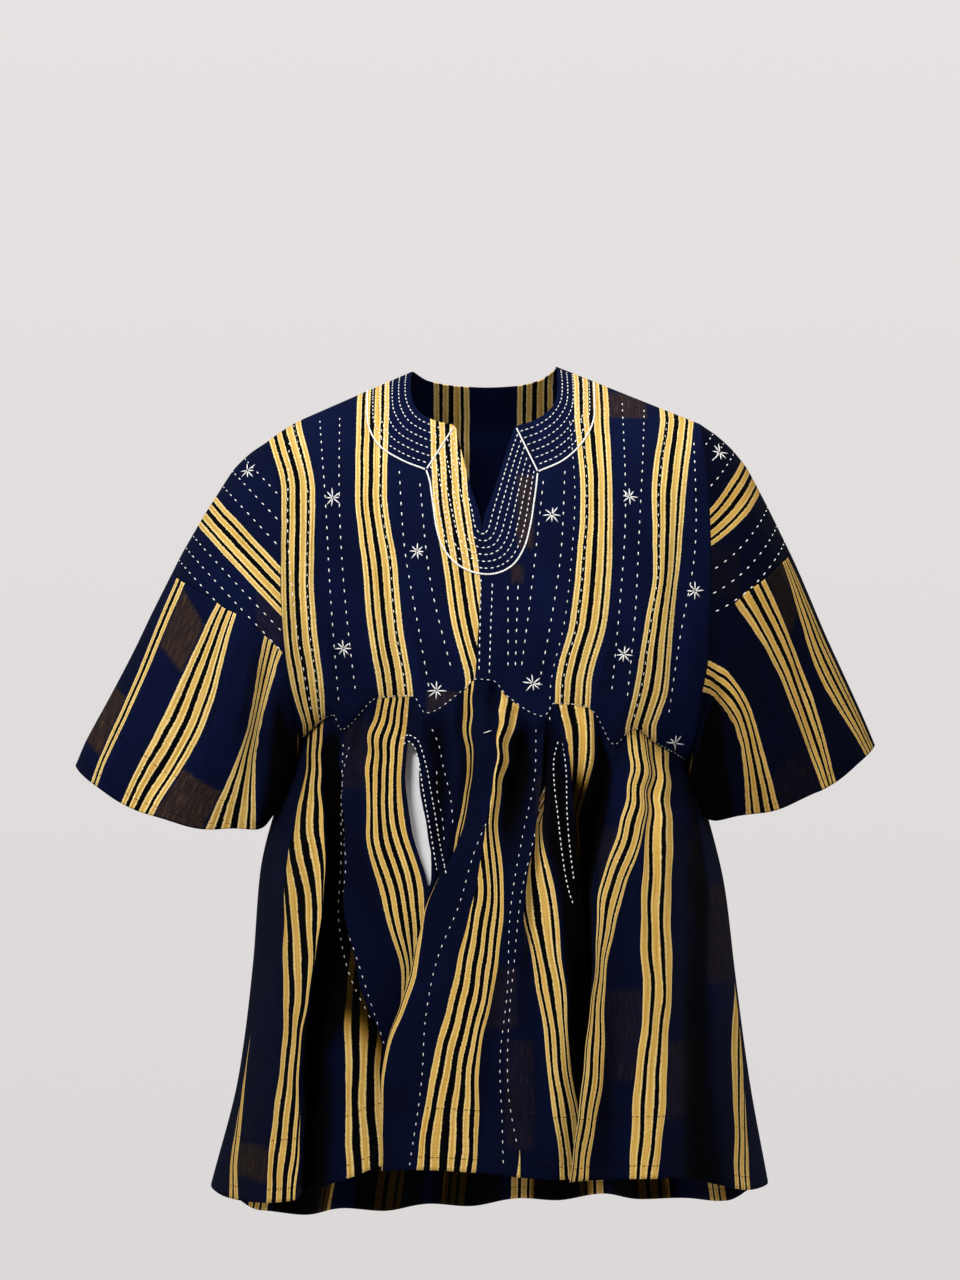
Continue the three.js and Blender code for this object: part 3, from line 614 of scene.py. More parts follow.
# %% Back of the yoke
def yoke_back():
    step = np.linspace(0, ARM_STEPS, YOKE_ROWS)[:, None]
    share = np.linspace(0, 1, BACK_COLUMNS)[None, :]
    down = down_at(step)
    low, high = ARMS["right"], ARMS["left"]
    yoke_x = mix(low["under"][0], high["under"][0], share)
    top_x = mix(low["top"][0], high["top"][0], share)
    neck_x, neck_z = columns_of(BACK_NECK, 0, 1)
    in_neck = ease(neck_x[0] - 1, neck_x[0], top_x) * ease(neck_x[-1] + 1, neck_x[-1], top_x)
    top_z = mix(shoulder_z(top_x), smooth_line(neck_x, neck_z)(top_x), in_neck)
    chord = mix(low["under"][1], high["under"][1], share)
    x = mix(top_x, yoke_x, down)
    z = mix(top_z, chord, down) + (YOKE["back"](yoke_x) - chord) * ease(0.5, 1, step / ARM_STEPS)
    y = np.maximum(body_depth(x, z, step, "back"), 0.1)
    inside = ease(0, 0.03, share) * ease(1, 0.97, share) * ease(0, 1.5, step)
    y = y + folds(x, z, BACK_YOKE_FOLDS) * inside
    return np.stack(np.broadcast_arrays(x, y, z), axis=2)


print("the back has", yoke_back().shape[:2], "rows and columns")


# %% Yoke pieces
# A finished yoke piece from its points: its strips, its brown blocks, the painted shade in its folds
# and its thickness.
def yoke_piece(name, node, points, lay, blocks, outside):
    face = -1 if outside is front_outside else 1
    weft = brown(points, blocks, face)
    hollow = fold_shade_of(points[:, :, 1] * face, *SHALLOW_FOLDS)
    return dress(sheet(name, points, lay, points[:, :, 2], weft, hollow, outside), node, points)


right_points = yoke_front("right")
left_points = yoke_front("left")
back_points = yoke_back()
back_u = back_points[:, :, 0] * NARROW_WIDTH / BACK_GROUP_PITCH + BACK_START
yoke_right = yoke_piece("yoke_front_right", "front_bodice_right", right_points,
                        lay_strips(right_points, RIGHT_GROUPS, RIGHT_STRIPS),
                        RIGHT_BLOCKS, front_outside)
yoke_left = yoke_piece("yoke_front_left", "front_bodice_left", left_points,
                       lay_strips(left_points, LEFT_GROUPS, LEFT_STRIPS),
                       LEFT_BLOCKS, front_outside)
yoke_rear = yoke_piece("yoke_back", "back_bodice", back_points,
                       strips_of(back_u, strip_row(0, 12)), BACK_BLOCKS, back_outside)
print("yoke faces", [len(piece.data.polygons) for piece in (yoke_right, yoke_left, yoke_rear)])

# %% [markdown]
# ## The sleeves
# Each sleeve has a cap, whose strips run round the arm, and a wide lower part, whose strips run
# down it. They meet in a slanting seam. The lower part is a tube of cloth, so its grid is closed
# into a ring, and it flutes softly towards the cuff.

# %% Sleeve tables
# how much of the arm's length a cap covers on top and at its tips, and how round its seam is
CAP_LENGTH, CAP_TIP, CAP_POWER = 0.43, 0.006, 2.2
# mm that a sleeve is fuller half way down than at its ends
FULLNESS = 8
# how far along the arm, and how far the right and the left shoulder swell there. The power makes
# the swelling narrow.
SWELL_POWER = 1.5
SHOULDER_SWELL = ((0, 0, 0), (0.06, 10.4, 10.7), (0.12, 15.8, 17.3), (0.18, 16.8, 20.2),
                  (0.27, 18, 19.8), (0.36, 17.9, 18.6), (0.45, 16, 17), (0.55, 13.6, 13.8),
                  (0.67, 10, 9.4), (0.8, 7.8, 6.1), (0.92, 6.5, 2.9), (1, 3, 0))
# degrees round the arm, and how far the flutes stand out at the armhole and at the cuff
SLEEVE_FLUTES = ((0, 0, 0), (34, 2, 2), (62, -3, -3), (92, 5, 5), (122, -6, -5), (150, 1, 2),
                 (180, 0, 0), (215, 2, 6), (245, -4, -7), (285, 4, 8), (325, -2, -4), (360, 0, 0))


def paired_line(table):
    knots, *pair = columns_of(table, 0, 1, 2)
    return smooth_line(knots, np.stack(pair, axis=1))


swell_at = paired_line(SHOULDER_SWELL)
flute_at = paired_line(SLEEVE_FLUTES)
print("shoulder swells by up to", max(row[2] for row in SHOULDER_SWELL), "mm")

# %% Sleeve pattern
# where the gold groups of the lower sleeves lie round the arm: U, then the step at the cap seam,
# half way and at the cuff
SLEEVE_GROUPS = {
    "right": ((12, -1, -1, -1), (64, 1.3, 1.8, 2.2), (80, 2.2, 2.4, 2.6), (126, 4.4, 4.3, 4.1),
              (160, 5.6, 6.4, 5.7), (206, 7.5, 8.5, 8.2), (240, 8.7, 9.3, 11.2),
              (286, 12.5, 13, 13.6), (320, 14.2, 14.8, 15.4), (366, 17, 17.3, 17.6),
              (400, 19, 19.2, 19.4), (446, 23.4, 23, 22.6), (480, 25.2, 24.9, 24.6),
              (492, 27, 27, 27), (526, 29.2, 29.2, 29.2)),
    "left": ((14, -1, -1, -1), (46, 1.3, 0.9, 0.6), (80, 2.2, 3, 1.8), (126, 4.05, 3.8, 4.4),
             (160, 6.35, 5.35, 5.15), (206, 8.8, 7.5, 7.7), (240, 9.7, 8.6, 9.5),
             (286, 12.2, 12.8, 13.4), (320, 14, 14.6, 15.2), (366, 17, 17.3, 17.6),
             (400, 19, 19.2, 19.4), (446, 23.4, 23, 22.6), (480, 25.2, 24.9, 24.6),
             (494, 27, 27, 27), (526, 29.2, 29, 28.8)),
}
FIRST_STRIP = {"right": PAIR, "left": NARROW}
# how far the under edge of a sleeve tucks in to the body at the cuff, and sags half way
UNDER_TUCK = {"right": (9, 9), "left": (24, 8)}
# how far along the arm a cap's group starts, how far it leans towards the armhole, how that lean
# bends on the way, and how closely the group's lines lie at its two ends
CAP_GROUPS = {"right": dict(start=79, lean=0.29, bend=0, spread=(1, 1)),
              "left": dict(start=64, lean=0.5, bend=0.0035, spread=(0.92, 1.2))}
# the middle of a group of lines, and how far across the arm its spread goes from end to end
CAP_GROUP_MIDDLE, CAP_ACROSS = 17, 51
CAP_STRIPS = ((-200, 0, PLAIN), (0, 80, NARROW), (80, 300, PLAIN))
CAP_COLUMNS, CAP_GRID_ROWS = 110, 46
SLEEVE_COLUMNS, SLEEVE_ROWS = 176, 84
# cloth in a step round the arm, in mm, and a height that keeps a cap clear of the hem's stitches
MM_PER_STEP, CLEAR_OF_HEM = 24, 2000
print("sleeve groups", {side: len(groups) // 2 for side, groups in SLEEVE_GROUPS.items()})

# %% Sleeve folds, blocks and shade
# as for the yoke: half the columns to compare, and the depths at which shade starts and is full
SLEEVE_SHALLOW = (9, 1, 12)
# x0, z0, x1, z1, width and height of the sleeves' soft folds
SLEEVE_FOLDS = {
    "right": (
        (-262, -215, -352, -420, 7, 4.5), (-252, -222, -338, -430, 8, -4.5),
        (-222, -262, -232, -442, 10, -15), (-240, -240, -300, -446, 11, 6),
        (-205, -300, -212, -436, 8, 6), (-300, -215, -384, -400, 10, -3),
        (-226, -270, -246, -350, 6, 5), (-268, -300, -330, -420, 7, -4),
        (-250, -60, -222, -150, 12, -2.5), (-268, -110, -216, -190, 9, 3),
    ),
    "left": (
        (246, -196, 316, -410, 8, 4.5), (236, -210, 296, -424, 8, -5),
        (214, -310, 236, -432, 10, -13), (236, -300, 262, -440, 9, 6),
        (222, -290, 246, -345, 6, 5), (300, -250, 330, -420, 6, -5),
        (280, -190, 352, -392, 10, -3), (252, -70, 224, -160, 12, -2.5),
        (274, -120, 222, -205, 9, 3),
    ),
}

# Blocks of brown weft on the sleeves, in the cloth's own mm: U from, U to, height above the cuff
# from and to, and how brown.
SLEEVE_BLOCKS = {
    "right": ((82, 124, 158, 216, 1), (22, 62, 29, 90, 1), (162, 204, 2, 72, 1)),
    "left": ((82, 124, 172, 258, 0.9), (162, 204, 3, 60, 0.3)),
}
# the same on the caps, as X from, X to, Z from, Z to
CAP_BLOCKS = {"right": ((-226, -202, -272, -216, 0.28),), "left": ((214, 248, -226, -176, 0.22),)}
# the step round the arm at which the shade under it begins, at the cap seam and the cuff
UNDER_SHADE = {"right": (8.4, 10.8), "left": (8, 9.4)}
# how much darker the front of the sleeve on the far side from the lamp is
AWAY_FROM_LIGHT = {"right": 0, "left": 0.46}
print("sleeve folds", {side: len(table) for side, table in SLEEVE_FOLDS.items()})


# %% Armhole and cuff
# The armhole and the cuff are two rings. A step goes round the arm, from its top by the front.
def armhole_point(arm, step):
    down = down_at(step)
    z = mix(arm["top"][1], arm["under"][1], down)
    y = -ARMHOLE_DEPTH * np.sin(np.pi * step / ARM_STEPS)
    return np.stack([arm_x(arm, down), y, z], axis=-1)


def cuff_point(arm, step):
    angle = np.pi * step / ARM_STEPS
    front = np.array(arm["front"], float)
    back = np.array(arm["back"], float)
    reach = np.where(np.sin(angle)[..., None] > 0, front, back)
    swing = np.abs(np.sin(angle))
    (ox, oz), (ix, iz) = arm["outer"], arm["inner"]
    x = (ox + ix) / 2 + (ox - ix) / 2 * np.cos(angle)
    z = (oz + iz) / 2 + (oz - iz) / 2 * np.cos(angle)
    return np.stack([x, np.zeros_like(x), z], axis=-1) + reach * swing[..., None]


# The top of an armhole and the way along the arm from there, as (x, z).
def arm_axis(arm):
    top = np.array(arm["top"], float)
    line = np.array(arm["outer"], float) - top
    return top, line / np.linalg.norm(line)


def sleeve_length(side):
    arm = ARMS[side]
    return math.dist(arm["top"], arm["outer"])


print("sleeves", [round(sleeve_length(side)) for side in ARMS], "mm along the top")


# %% Sleeve form
# The cloth between the two rings: along is 0 at the armhole and 1 at the cuff. It swells over the
# shoulder, flutes towards the cuff, and sags and tucks in under the arm.
def sleeve_points(side, step, along):
    arm = ARMS[side]
    step, along = np.broadcast_arrays(np.asarray(step, float), np.asarray(along, float))
    angle = np.pi * step / ARM_STEPS
    point = mix(armhole_point(arm, step), cuff_point(arm, step), along[..., None])
    _, line = arm_axis(arm)
    column = 0 if side == "right" else 1
    swell = swell_at(along)[..., column] * ((1 + np.cos(angle)) / 2) ** SWELL_POWER
    point[..., 0] += arm["side"] * abs(line[1]) * swell
    point[..., 2] += abs(line[0]) * swell
    flute = flute_at(np.degrees(angle) % 360)
    out = mix(flute[..., 0], flute[..., 1], along) * ease(0.05, 0.5, along)
    out = out + FULLNESS * np.sin(np.pi * along)
    soft = folds(point[..., 0], point[..., 2], SLEEVE_FOLDS[side]) * ease(0, 0.12, along)
    out = out + soft * np.abs(np.sin(angle))
    under = ((1 - np.cos(angle)) / 2) ** 5
    tuck, sag = UNDER_TUCK[side]
    point[..., 0] -= arm["side"] * under * (tuck * along + sag * np.sin(np.pi * along))
    point[..., 2] -= under * 0.5 * sag * np.sin(np.pi * along)
    point[..., 1] -= np.sin(angle) * out
    point[..., 2] += np.cos(angle) * (out - FULLNESS * np.sin(np.pi * along))
    return point


trial = sleeve_points("right", 0, (0, 0.5, 1))
print("right sleeve, top line", np.round(trial).tolist())


# %% Cap seam and right side
# How far along the arm the seam between the cap and the lower sleeve lies at each step.
def cap_seam(side, step):
    cap = ARMS[side]["cap"]
    step = np.asarray(step, float) % (2 * ARM_STEPS)
    from_top = np.minimum(step, 2 * ARM_STEPS - step)
    share = 1 - (np.minimum(from_top, cap) / cap) ** CAP_POWER
    return np.where(from_top <= cap, np.maximum(CAP_TIP, CAP_LENGTH * share), 0.0)


# The way that a sleeve's right side faces, which is away from the line through its middle.
def sleeve_outside(side):
    arm = ARMS[side]
    start = Vector((arm["top"][0] + arm["under"][0], 0, arm["top"][1] + arm["under"][1])) / 2 * MM
    end = Vector((arm["outer"][0] + arm["inner"][0], 0, arm["outer"][1] + arm["inner"][1])) / 2 * MM
    axis = (end - start).normalized()

    def away(centre):
        spoke = centre - start
        return spoke - axis * spoke.dot(axis)

    return away


# How brown the weft of a lower sleeve is, from blocks in the cloth's own mm.
def brown_cloth(u, height, blocks):
    total = np.zeros_like(u)
    for u0, u1, low, high, strength in blocks:
        across = ease(u0 - 1, u0 + 1, u) * ease(u1 + 1, u1 - 1, u)
        up = ease(low - 1.5, low + 1, height) * ease(high + 1.5, high - 1, height)
        total = np.maximum(total, across * up * strength)
    return total


print("cap seam on the top line", [float(cap_seam(side, 0)) for side in ARMS], "of the way")


# %% Sleeve caps
# U on a cap, whose strips run round the arm and lean towards the armhole.
def cap_u(side, x, z):
    arm, group = ARMS[side], CAP_GROUPS[side]
    top, line = arm_axis(arm)
    away = x - top[0], z - top[1]
    axial = away[0] * line[0] + away[1] * line[1]
    inward = -arm["side"]
    across = away[0] * inward * abs(line[1]) - away[1] * abs(line[0])
    u = axial - (group["lean"] - group["bend"] * across) * across - group["start"]
    spread = mix(*group["spread"], np.clip(across / CAP_ACROSS, 0, 1))
    return GOLD_LINES[NARROW][0][0] + CAP_GROUP_MIDDLE + (u - CAP_GROUP_MIDDLE) * spread


# The cap's grid is turned, so that its rows run round the arm as its strips do.
def cap_piece(side):
    cap = ARMS[side]["cap"]
    step = np.linspace(-cap, cap, CAP_COLUMNS)[:, None]
    share = np.linspace(0, 1, CAP_GRID_ROWS)[None, :]
    points = sleeve_points(side, step % (2 * ARM_STEPS), cap_seam(side, step) * share)
    lay = strips_of(cap_u(side, points[:, :, 0], points[:, :, 2]), CAP_STRIPS)
    around = np.broadcast_to(step * MM_PER_STEP + CLEAR_OF_HEM, points.shape[:2])
    weft = brown(points, CAP_BLOCKS[side])
    # painted shade: the cap's front is darkened on the sleeve that faces away from the lamp
    shade = np.full_like(weft, AWAY_FROM_LIGHT[side]) * (points[:, :, 1] < 0)
    piece = sheet(f"sleeve_cap_{side}_cloth", points, lay, around, weft, shade,
                  sleeve_outside(side))
    return dress(piece, f"sleeve_cap_{side}", points)


caps = {side: cap_piece(side) for side in ARMS}
print("cap faces", [len(piece.data.polygons) for piece in caps.values()])


# %% Lower sleeves
# How much painted shade darkens a lower sleeve: in its folds, away from the lamp and under the arm.
def sleeve_shade(side, points, step, along):
    in_folds = fold_shade_of(-points[:, :, 1], *SLEEVE_SHALLOW)
    in_folds = in_folds * ease(0.1, 0.5, np.sin(np.pi * step / ARM_STEPS))
    away = AWAY_FROM_LIGHT[side] * (step < ARM_STEPS)
    starts = mix(*UNDER_SHADE[side], along)
    under = ease(0, 1.3, step - starts) * ease(18, 15.5, step) * ease(0.06, 0.25, along)
    return np.maximum(np.maximum(in_folds, away), under)


def lower_sleeve(side):
    step = np.linspace(0, 2 * ARM_STEPS, SLEEVE_COLUMNS)[None, :]
    share = np.linspace(0, 1, SLEEVE_ROWS)[:, None]
    along = mix(cap_seam(side, step), 1, share)
    points = sleeve_points(side, step, along)
    points[:, -1] = points[:, 0]
    cloth_u, *places = columns_of(SLEEVE_GROUPS[side], 0, 1, 2, 3)
    place_at = smooth_line((0, 0.5, 1), np.array(places))
    u = np.array([np.interp(step[0], place_at(value), cloth_u) for value in share[:, 0]])
    first = (-40, NARROW_WIDTH, FIRST_STRIP[side] - 40)
    lay = strips_of(u, (first,) + strip_row(1, 6))
    height = np.broadcast_to((1 - along) * sleeve_length(side), u.shape)
    weft = brown_cloth(u, height, SLEEVE_BLOCKS[side])
    shade = sleeve_shade(side, points, step, along)
    piece = sheet(f"lower_sleeve_{side}", points, lay, height, weft, shade, sleeve_outside(side),
                  closed=True)
    return dress(piece, f"sleeve_{side}", points)


sleeves = {side: lower_sleeve(side) for side in ARMS}
print("sleeve faces", [len(piece.data.polygons) for piece in sleeves.values()])

# %% [markdown]
# ## The skirt
# The skirt is two wide panels, each gathered on to the yoke. Its folds overlap, so a height above
# a flat plane can't hold them. Instead each row of the table below is a line that stays with the
# cloth, such as the edge of a group of gold lines or the crest of a fold. It says where that line
# hangs at seven heights and how far it stands out there. Between two lines lies a band of cloth,
# and the row ends with the band's place in the weaver's chart.

# %% Front skirt table
SKIRT_LEVELS = (-784, -671, -594, -518, -450, -383, -326)
# how far down, X of the right and left sides, depth of the front and back, and how round they are
SKIRT_OUTLINE = ((0, -187, 202, 140, 128, 1), (0.05, -196, 211, 143, 131, 0.9),
                 (0.12, -207, 220, 150, 140, 0.8),
                 (0.3, -227, 238, 166, 160, 0.62), (0.5, -234, 248, 181, 180, 0.55),
                 (0.75, -248, 262, 198, 200, 0.55), (1, -276, 281, 212, 216, 0.55))
FRONT_HEM = ((-276, -812), (-258, -814), (-180, -804), (-137, -785), (-98, -772), (-60, -770),
             (-10, -773), (34, -779), (75, -782), (130, -781), (170, -782), (225, -796),
             (258, -806), (281, -809))
# name, X at each level from the yoke down, how far it stands out, and U at both edges of the band
# between this line and the next one
FRONT_SKIRT = (
    ("side seam", None, (0, 0, 0, 0, 0, 0, 0), (262, 220)),
    ("side fold right", (-184, -190, -207, -216, -224, -236, -253),
     (0, 1, 2, 3, 4, 5, 6), ((155, 155, 155, 155, 155, 164, 186), 110)),
    ("sharp pleat left", (-178, -179, -191, -198, -197, -202, -212),
     (2, 6, 12, 14, 15, 14, 14),
     ((328, 328, 324, 306, 300, 300, 300), (356, 356, 356, 350, 336, 333, 345))),
    ("sharp pleat right", (-161, -163, -160, -159, -168, -181, -182),
     (2, 4, 8, 10, 12, 12, 8), (220, 232)),
    ("deep trough left", (-157, -159, -156, -160, -168, -176, -176),
     (0, -12, -30, -38, -42, -42, -40), (232, 262)),
    ("shaded group left", (-152, -143, -136, -132, -135, -137, -137),
     (-1, -14, -32, -38, -28, -20, -16),
     ((450, 445, 400, 400, 400, 400, 400), (456, 452, 439, 439, 439, 439, 439))),
    ("shaded group right", (-151.6, -139, -105, -95, -97, -97, -93),
     (-1, -16, -34, -44, -42, -34, -28), (220, 250)),
    ("tongue edge", (-145, -142, -140, -140, -124, -98, -89),
     (0, -2, -4, -4, -8, -22, -42), (250, 274)),
    ("pocket group left", (-107, -117, -116, -103, -84, -89, -83),
     (4, 3, 3, 2, -8, -28, -46), (FULL, (358, 362, 364, 363, 359, 356, 356))),
    ("pocket slit left", (-75, -80, -72, -54, -67, -85, -78),
     (4, 4, 3, 2, -8, -28, -46), (220, 221)),
    ("pocket slit right", (-74, -79, -71, -53, -66, -84, -77),
     (4, 4, 3, 1, -9, -29, -47), (221, 266)),
    ("centre pair left", (-23, -23, -31, -40, -59, -82, -74),
     (3, 2, 0, -8, -18, -36, -48), (PAIR + 63, PAIR + 80)),
    ("centre pair right", (-13, -16, -25, -36, -55, -80, -72),
     (4, 4, 2, -8, -18, -36, -48), (220, 228)),
    ("slanting fold edge", (-10, -14, -24, -55, -78, -98, -102),
     (6, 8, 9, 9, 9, 9, 8), ((158, 158, 158, 166, 181, 174, 168), 112)),
    ("centre group left", (12, 9, -3, -14, -32, -54, -67),
     (6, 12, 14, 14, 14, 14, 14), ((336, 342, 330, 306, 300, 300, 300), FULL + 56)),
    ("centre group right", (32, 21, 9, 16, 8, -8, -11),
     (2, 2, 5, 8, 10, 12, 10), (105, 115)),
    ("centre hollow", (40, 31, 18, 23, 14, -2, -5),
     (-3, -16, -8, 4, 8, 10, 8), (115, (158, 158, 158, 156, 154, 150, 168))),
    ("panel edge", (56, 54, 47, 35, 32, 30, 30),
     (3, 6, 6, 5, 3, 2, 4), (220, 235)),
    ("swinging group left", (59, 56, 42, 32, 47, 58, 69),
     (-1, -6, -8, -7, -6, -5, -3), ((10, 12, 44, 46, 46, 46, 46), (24, 26, 80, 80, 80, 80, 80))),
    ("swinging group right", (62, 59, 54, 65, 73, 81, 98),
     (0, -4, -6, -5, -6, -10, -16), (220, 244)),
    ("closed pocket right", (66, 80, 86, 85, 85, 89, 108),
     (3, 0, -3, -8, -16, -24, -30), (244, 262)),
    ("gathered group left", (64, 75, 80, 86, 92, 99, 110),
     (3, -1, -26, -40, -44, -44, -42), (46, 80)),
    ("gathered group right", (103, 103, 90, 92, 96, 102, 112),
     (3, -1, -30, -42, -46, -46, -44), (220, 240)),
    ("dark hollow", (108, 109, 100, 96, 98, 104, 114),
     (0, -12, -34, -42, -46, -46, -44), (240, 262)),
    ("leaning group left", (136, 137, 127, 107, 100, 93, 78),
     (3, 8, 12, 14, 14, 14, 12), (46, 80)),
    ("leaning group right", (155, 157, 152, 130, 112, 111, 96),
     (4, 8, 10, 10, 9, 8, 6), (220, 256)),
    ("straight group left", (157, 159, 154, 149, 149, 142, 135),
     (4, 10, 12, 12, 11, 10, 10), (162, 195)),
    ("straight group right", (180, 180, 179, 179, 179, 172, 164),
     (5, 10, 12, 12, 11, 12, 14), (220, 250)),
    ("side crease", (190, 195, 208, 210, 208, 205, 203),
     (2, 0, -3, -4, -4, -4, -6), (110, (140, 140, 140, 144, 152, 162, 162))),
    ("side group left", (197, 200, 213, 224, 235, 241, 240),
     (2, 3, 3, 4, 4, 3, 2),
     ((140, 140, 140, 144, 152, 162, 162), (150, 150, 152, 156, 160, 180, 198))),
    ("side fold left", (200, 206, 221, 234, 244, 252, 257),
     (1, 2, 3, 4, 5, 6, 6), (220, 262)),
    ("side seam", None, (0, 0, 0, 0, 0, 0, 0), None),
)
print("front skirt", len(FRONT_SKIRT) - 1, "bands")

# %% Other skirt tables
# painted shade of the yoke over the whole skirt, by so much even where it has no fold
SKIRT_SHADE = 0.25
# how much further than their tables say the front and the back stand out, and the back sideways
FRONT_RELIEF, BACK_RELIEF, BACK_SPREAD = 1.2, 1.15, 0.35
# height of the slit's ends, how wide it gapes, in what shares of its length it opens and closes, and
# over how many mm the cloth beside it gives way
POCKET_SLIT = dict(top=-366, foot=-506, width=12.5, opens=0.14, closes=0.25, gives=26)
# width of a column and of the bands at the sides, in mm, and the number of rows, which are crowded
# towards the yoke
COLUMN_WIDTH, SIDE_BAND = 3.2, 60
SKIRT_ROWS, ROW_CROWDING = {"front": 118, "back": 108}, {"front": 1.12, "back": 1.1}
BACK_SKIRT_COLUMNS = 262
# heights between which the yoke seam runs, and where the search for the seam and the hem starts
SEAM_SPAN, SEAM_GUESS, HEM_GUESS = (-391, -305), -340.0, -790.0
# each place on the back, from right to left: X on the yoke, its share of the half width half way
# down and at the hem, height of the hem, and how far it stands out high up, half way and low down
BACK_SKIRT = (
    (-187, -1, -1, -812, 0, 0, 0), (-150, -0.84, -0.84, -856, 4, 9, 13),
    (-126, -0.68, -0.7, -862, -4, -12, -18), (-92, -0.52, -0.55, -864, 5, 14, 17),
    (-62, -0.37, -0.4, -863, -4, -15, -20), (-30, -0.2, -0.23, -862, 4, 11, 14),
    (4, -0.04, -0.07, -860, -3, -10, -17), (36, 0.12, 0.1, -857, 5, 13, 17),
    (70, 0.28, 0.27, -853, -4, -13, -19), (102, 0.43, 0.42, -850, 4, 12, 15),
    (132, 0.58, 0.57, -849, -4, -12, -16), (160, 0.74, 0.74, -848, 4, 10, 13),
    (184, 0.88, 0.88, -842, -2, -6, -7), (202, 1, 1, -809, 0, 0, 0),
)
BACK_LEVELS = (0, 0.14, 0.5, 1)
# U of the back's first column
BACK_FIRST_U = 40
print("back skirt", len(BACK_SKIRT) - 1, "folds")

# %% Skirt folds and brown blocks
# folds: x0, z0, x1, z1, width and height; blocks: x from, x to, z from, z to and how brown
FRONT_SKIRT_FOLDS = (
    (-228, -420, -238, -600, 14, 5), (-210, -470, -222, -640, 9, -4),
    (-46, -330, -70, -560, 11, -3), (-30, -420, -74, -640, 10, 2.6),
    (22, -560, -10, -770, 9, -3.6), (-40, -560, -48, -770, 8, 2.6),
    (48, -600, 50, -775, 8, -3), (20, -400, 24, -620, 10, 3),
    (150, -430, 152, -700, 7, 2.4), (196, -400, 190, -760, 10, -3.2),
    (120, -600, 112, -770, 8, -3), (222, -470, 226, -780, 8, 3.2),
    (-236, -640, -240, -800, 12, -4), (166, -330, 170, -470, 5, 2.6),
    (-100, -380, -88, -470, 5, 3), (-112, -372, -104, -440, 4, -3),
)
FRONT_SKIRT_BLOCKS = (
    (-246, -212, -790, -760, 0.9), (114, 148, -689, -603, 0.35), (172, 206, -726, -655, 0.4),
    (214, 244, -604, -510, 0.5), (-4, 28, -638, -580, 0.35), (18, 44, -752, -650, 0.3),
    (48, 70, -470, -400, 0.4), (108, 128, -512, -450, 0.35), (-139, -117, -412, -348, 0.3),
)
BACK_SKIRT_FOLDS = (
    (-120, -420, -132, -820, 9, -5), (-60, -360, -66, -600, 8, 4), (20, -400, 14, -840, 10, 5),
    (64, -380, 72, -640, 8, -4), (120, -400, 132, -820, 9, 5), (-190, -460, -214, -820, 10, 5),
    (176, -460, 204, -820, 10, -5), (-20, -480, -26, -820, 8, -4),
)
BACK_SKIRT_BLOCKS = (
    (-168, -128, -620, -560, 0.6), (-40, 2, -760, -700, 0.5), (90, 130, -540, -470, 0.6),
    (150, 190, -740, -680, 0.6),
)
print("soft folds", len(FRONT_SKIRT_FOLDS), "in front,", len(BACK_SKIRT_FOLDS), "behind")

# %% Skirt outline
down_knots, *outline_parts = columns_of(SKIRT_OUTLINE, 0, 1, 2, 3, 4, 5)
OUTLINE = {name: smooth_line(down_knots, part)
           for name, part in zip(("right", "left", "front", "back", "side"), outline_parts)}


# How far in front of or behind the side seams the skirt hangs at x, before its folds, and the place
# of x between the sides, from -1 to 1.
def section_depth(x, down, face):
    low, high = OUTLINE["right"](down), OUTLINE["left"](down)
    place = np.clip((x - (low + high) / 2) / ((high - low) / 2), -1, 1)
    inside = 1 - np.abs(place) ** SQUARENESS
    return OUTLINE[face](down) * inside ** OUTLINE["side"](down), place


# A smooth line across the last axis of values, whose knots are the same everywhere.
def smooth_across(knots, values, at):
    width = np.diff(knots)
    slope = knot_slopes(values, width)
    i = np.clip(np.searchsorted(knots, at, side="right") - 1, 0, len(knots) - 2)
    span = width[i]
    s = (at - knots[i]) / span
    pick = np.broadcast_to(i, values.shape[:-1])[..., None]
    ends = [np.take_along_axis(part, pick + k, -1)[..., 0] for part in (values, slope) for k in (0, 1)]
    return curve(*ends, span, s)


# Fades a fold out towards the side seams, whose place is -1 and 1.
def inside_seams(place):
    return 1 - np.abs(place) ** 8


print("hem", round(float(OUTLINE["left"](1) - OUTLINE["right"](1))), "mm across")


# %% Gathers and small waves
# Short pleats just below the yoke seam, each at an x on the seam, with its own width and length.
def gathers(seed, count, yoke_x, below):
    draw = np.random.default_rng(seed)
    low, high = yoke_x.min(), yoke_x.max()
    total = np.zeros_like(below)
    for k in range(count):
        place = low + (high - low) * (k + draw.uniform(0.15, 0.85)) / count
        width = draw.uniform(3.4, 7)
        height = draw.uniform(3.5, 8) * (1 if k % 2 else -1)
        length = draw.uniform(35, 130)
        total += height * np.exp(-(((yoke_x - place) / width) ** 2)) * np.exp(-below / length)
    return total * ease(0, 10, below)


# Small sideways waves that keep the gold lines from hanging too straight, strongest where the
# gathers pull at the cloth.
def wobble(x, z, below):
    slow = 1.3 * np.sin(z / 41 + x / 29) + 0.8 * np.sin(z / 19 - x / 13 + 2)
    pulled = 1.6 * np.sin(z / 6.2 + x / 17) * np.exp(-((below - 45) / 32) ** 2)
    return slow + 0.35 * np.sin(z / 8.3 + x / 7 + 1) + pulled * (0.5 + 0.5 * np.sin(x / 23 + 1))


# How much painted shade darkens the skirt: a little everywhere, and more in its folds.
def skirt_shade(out, below):
    return SKIRT_SHADE + (1 - SKIRT_SHADE) * fold_shade_of(out) * ease(0, 30, below)


trial = gathers(7, 30, np.linspace(-187, 202, 200)[None, :], np.full((1, 200), 20.0))
print("gathers from", round(float(trial.min()), 1), "to", round(float(trial.max()), 1), "mm")


# %% [markdown]
# ## The front of the skirt
# The grid has more columns where a band is wider, so that folds stay round and faces even. The
# pocket slit is a narrow band of its own, whose faces are cut out, and the cloth beside it gives
# way so that the slit gapes. Cutting a finished sheet would leave a ragged edge instead.

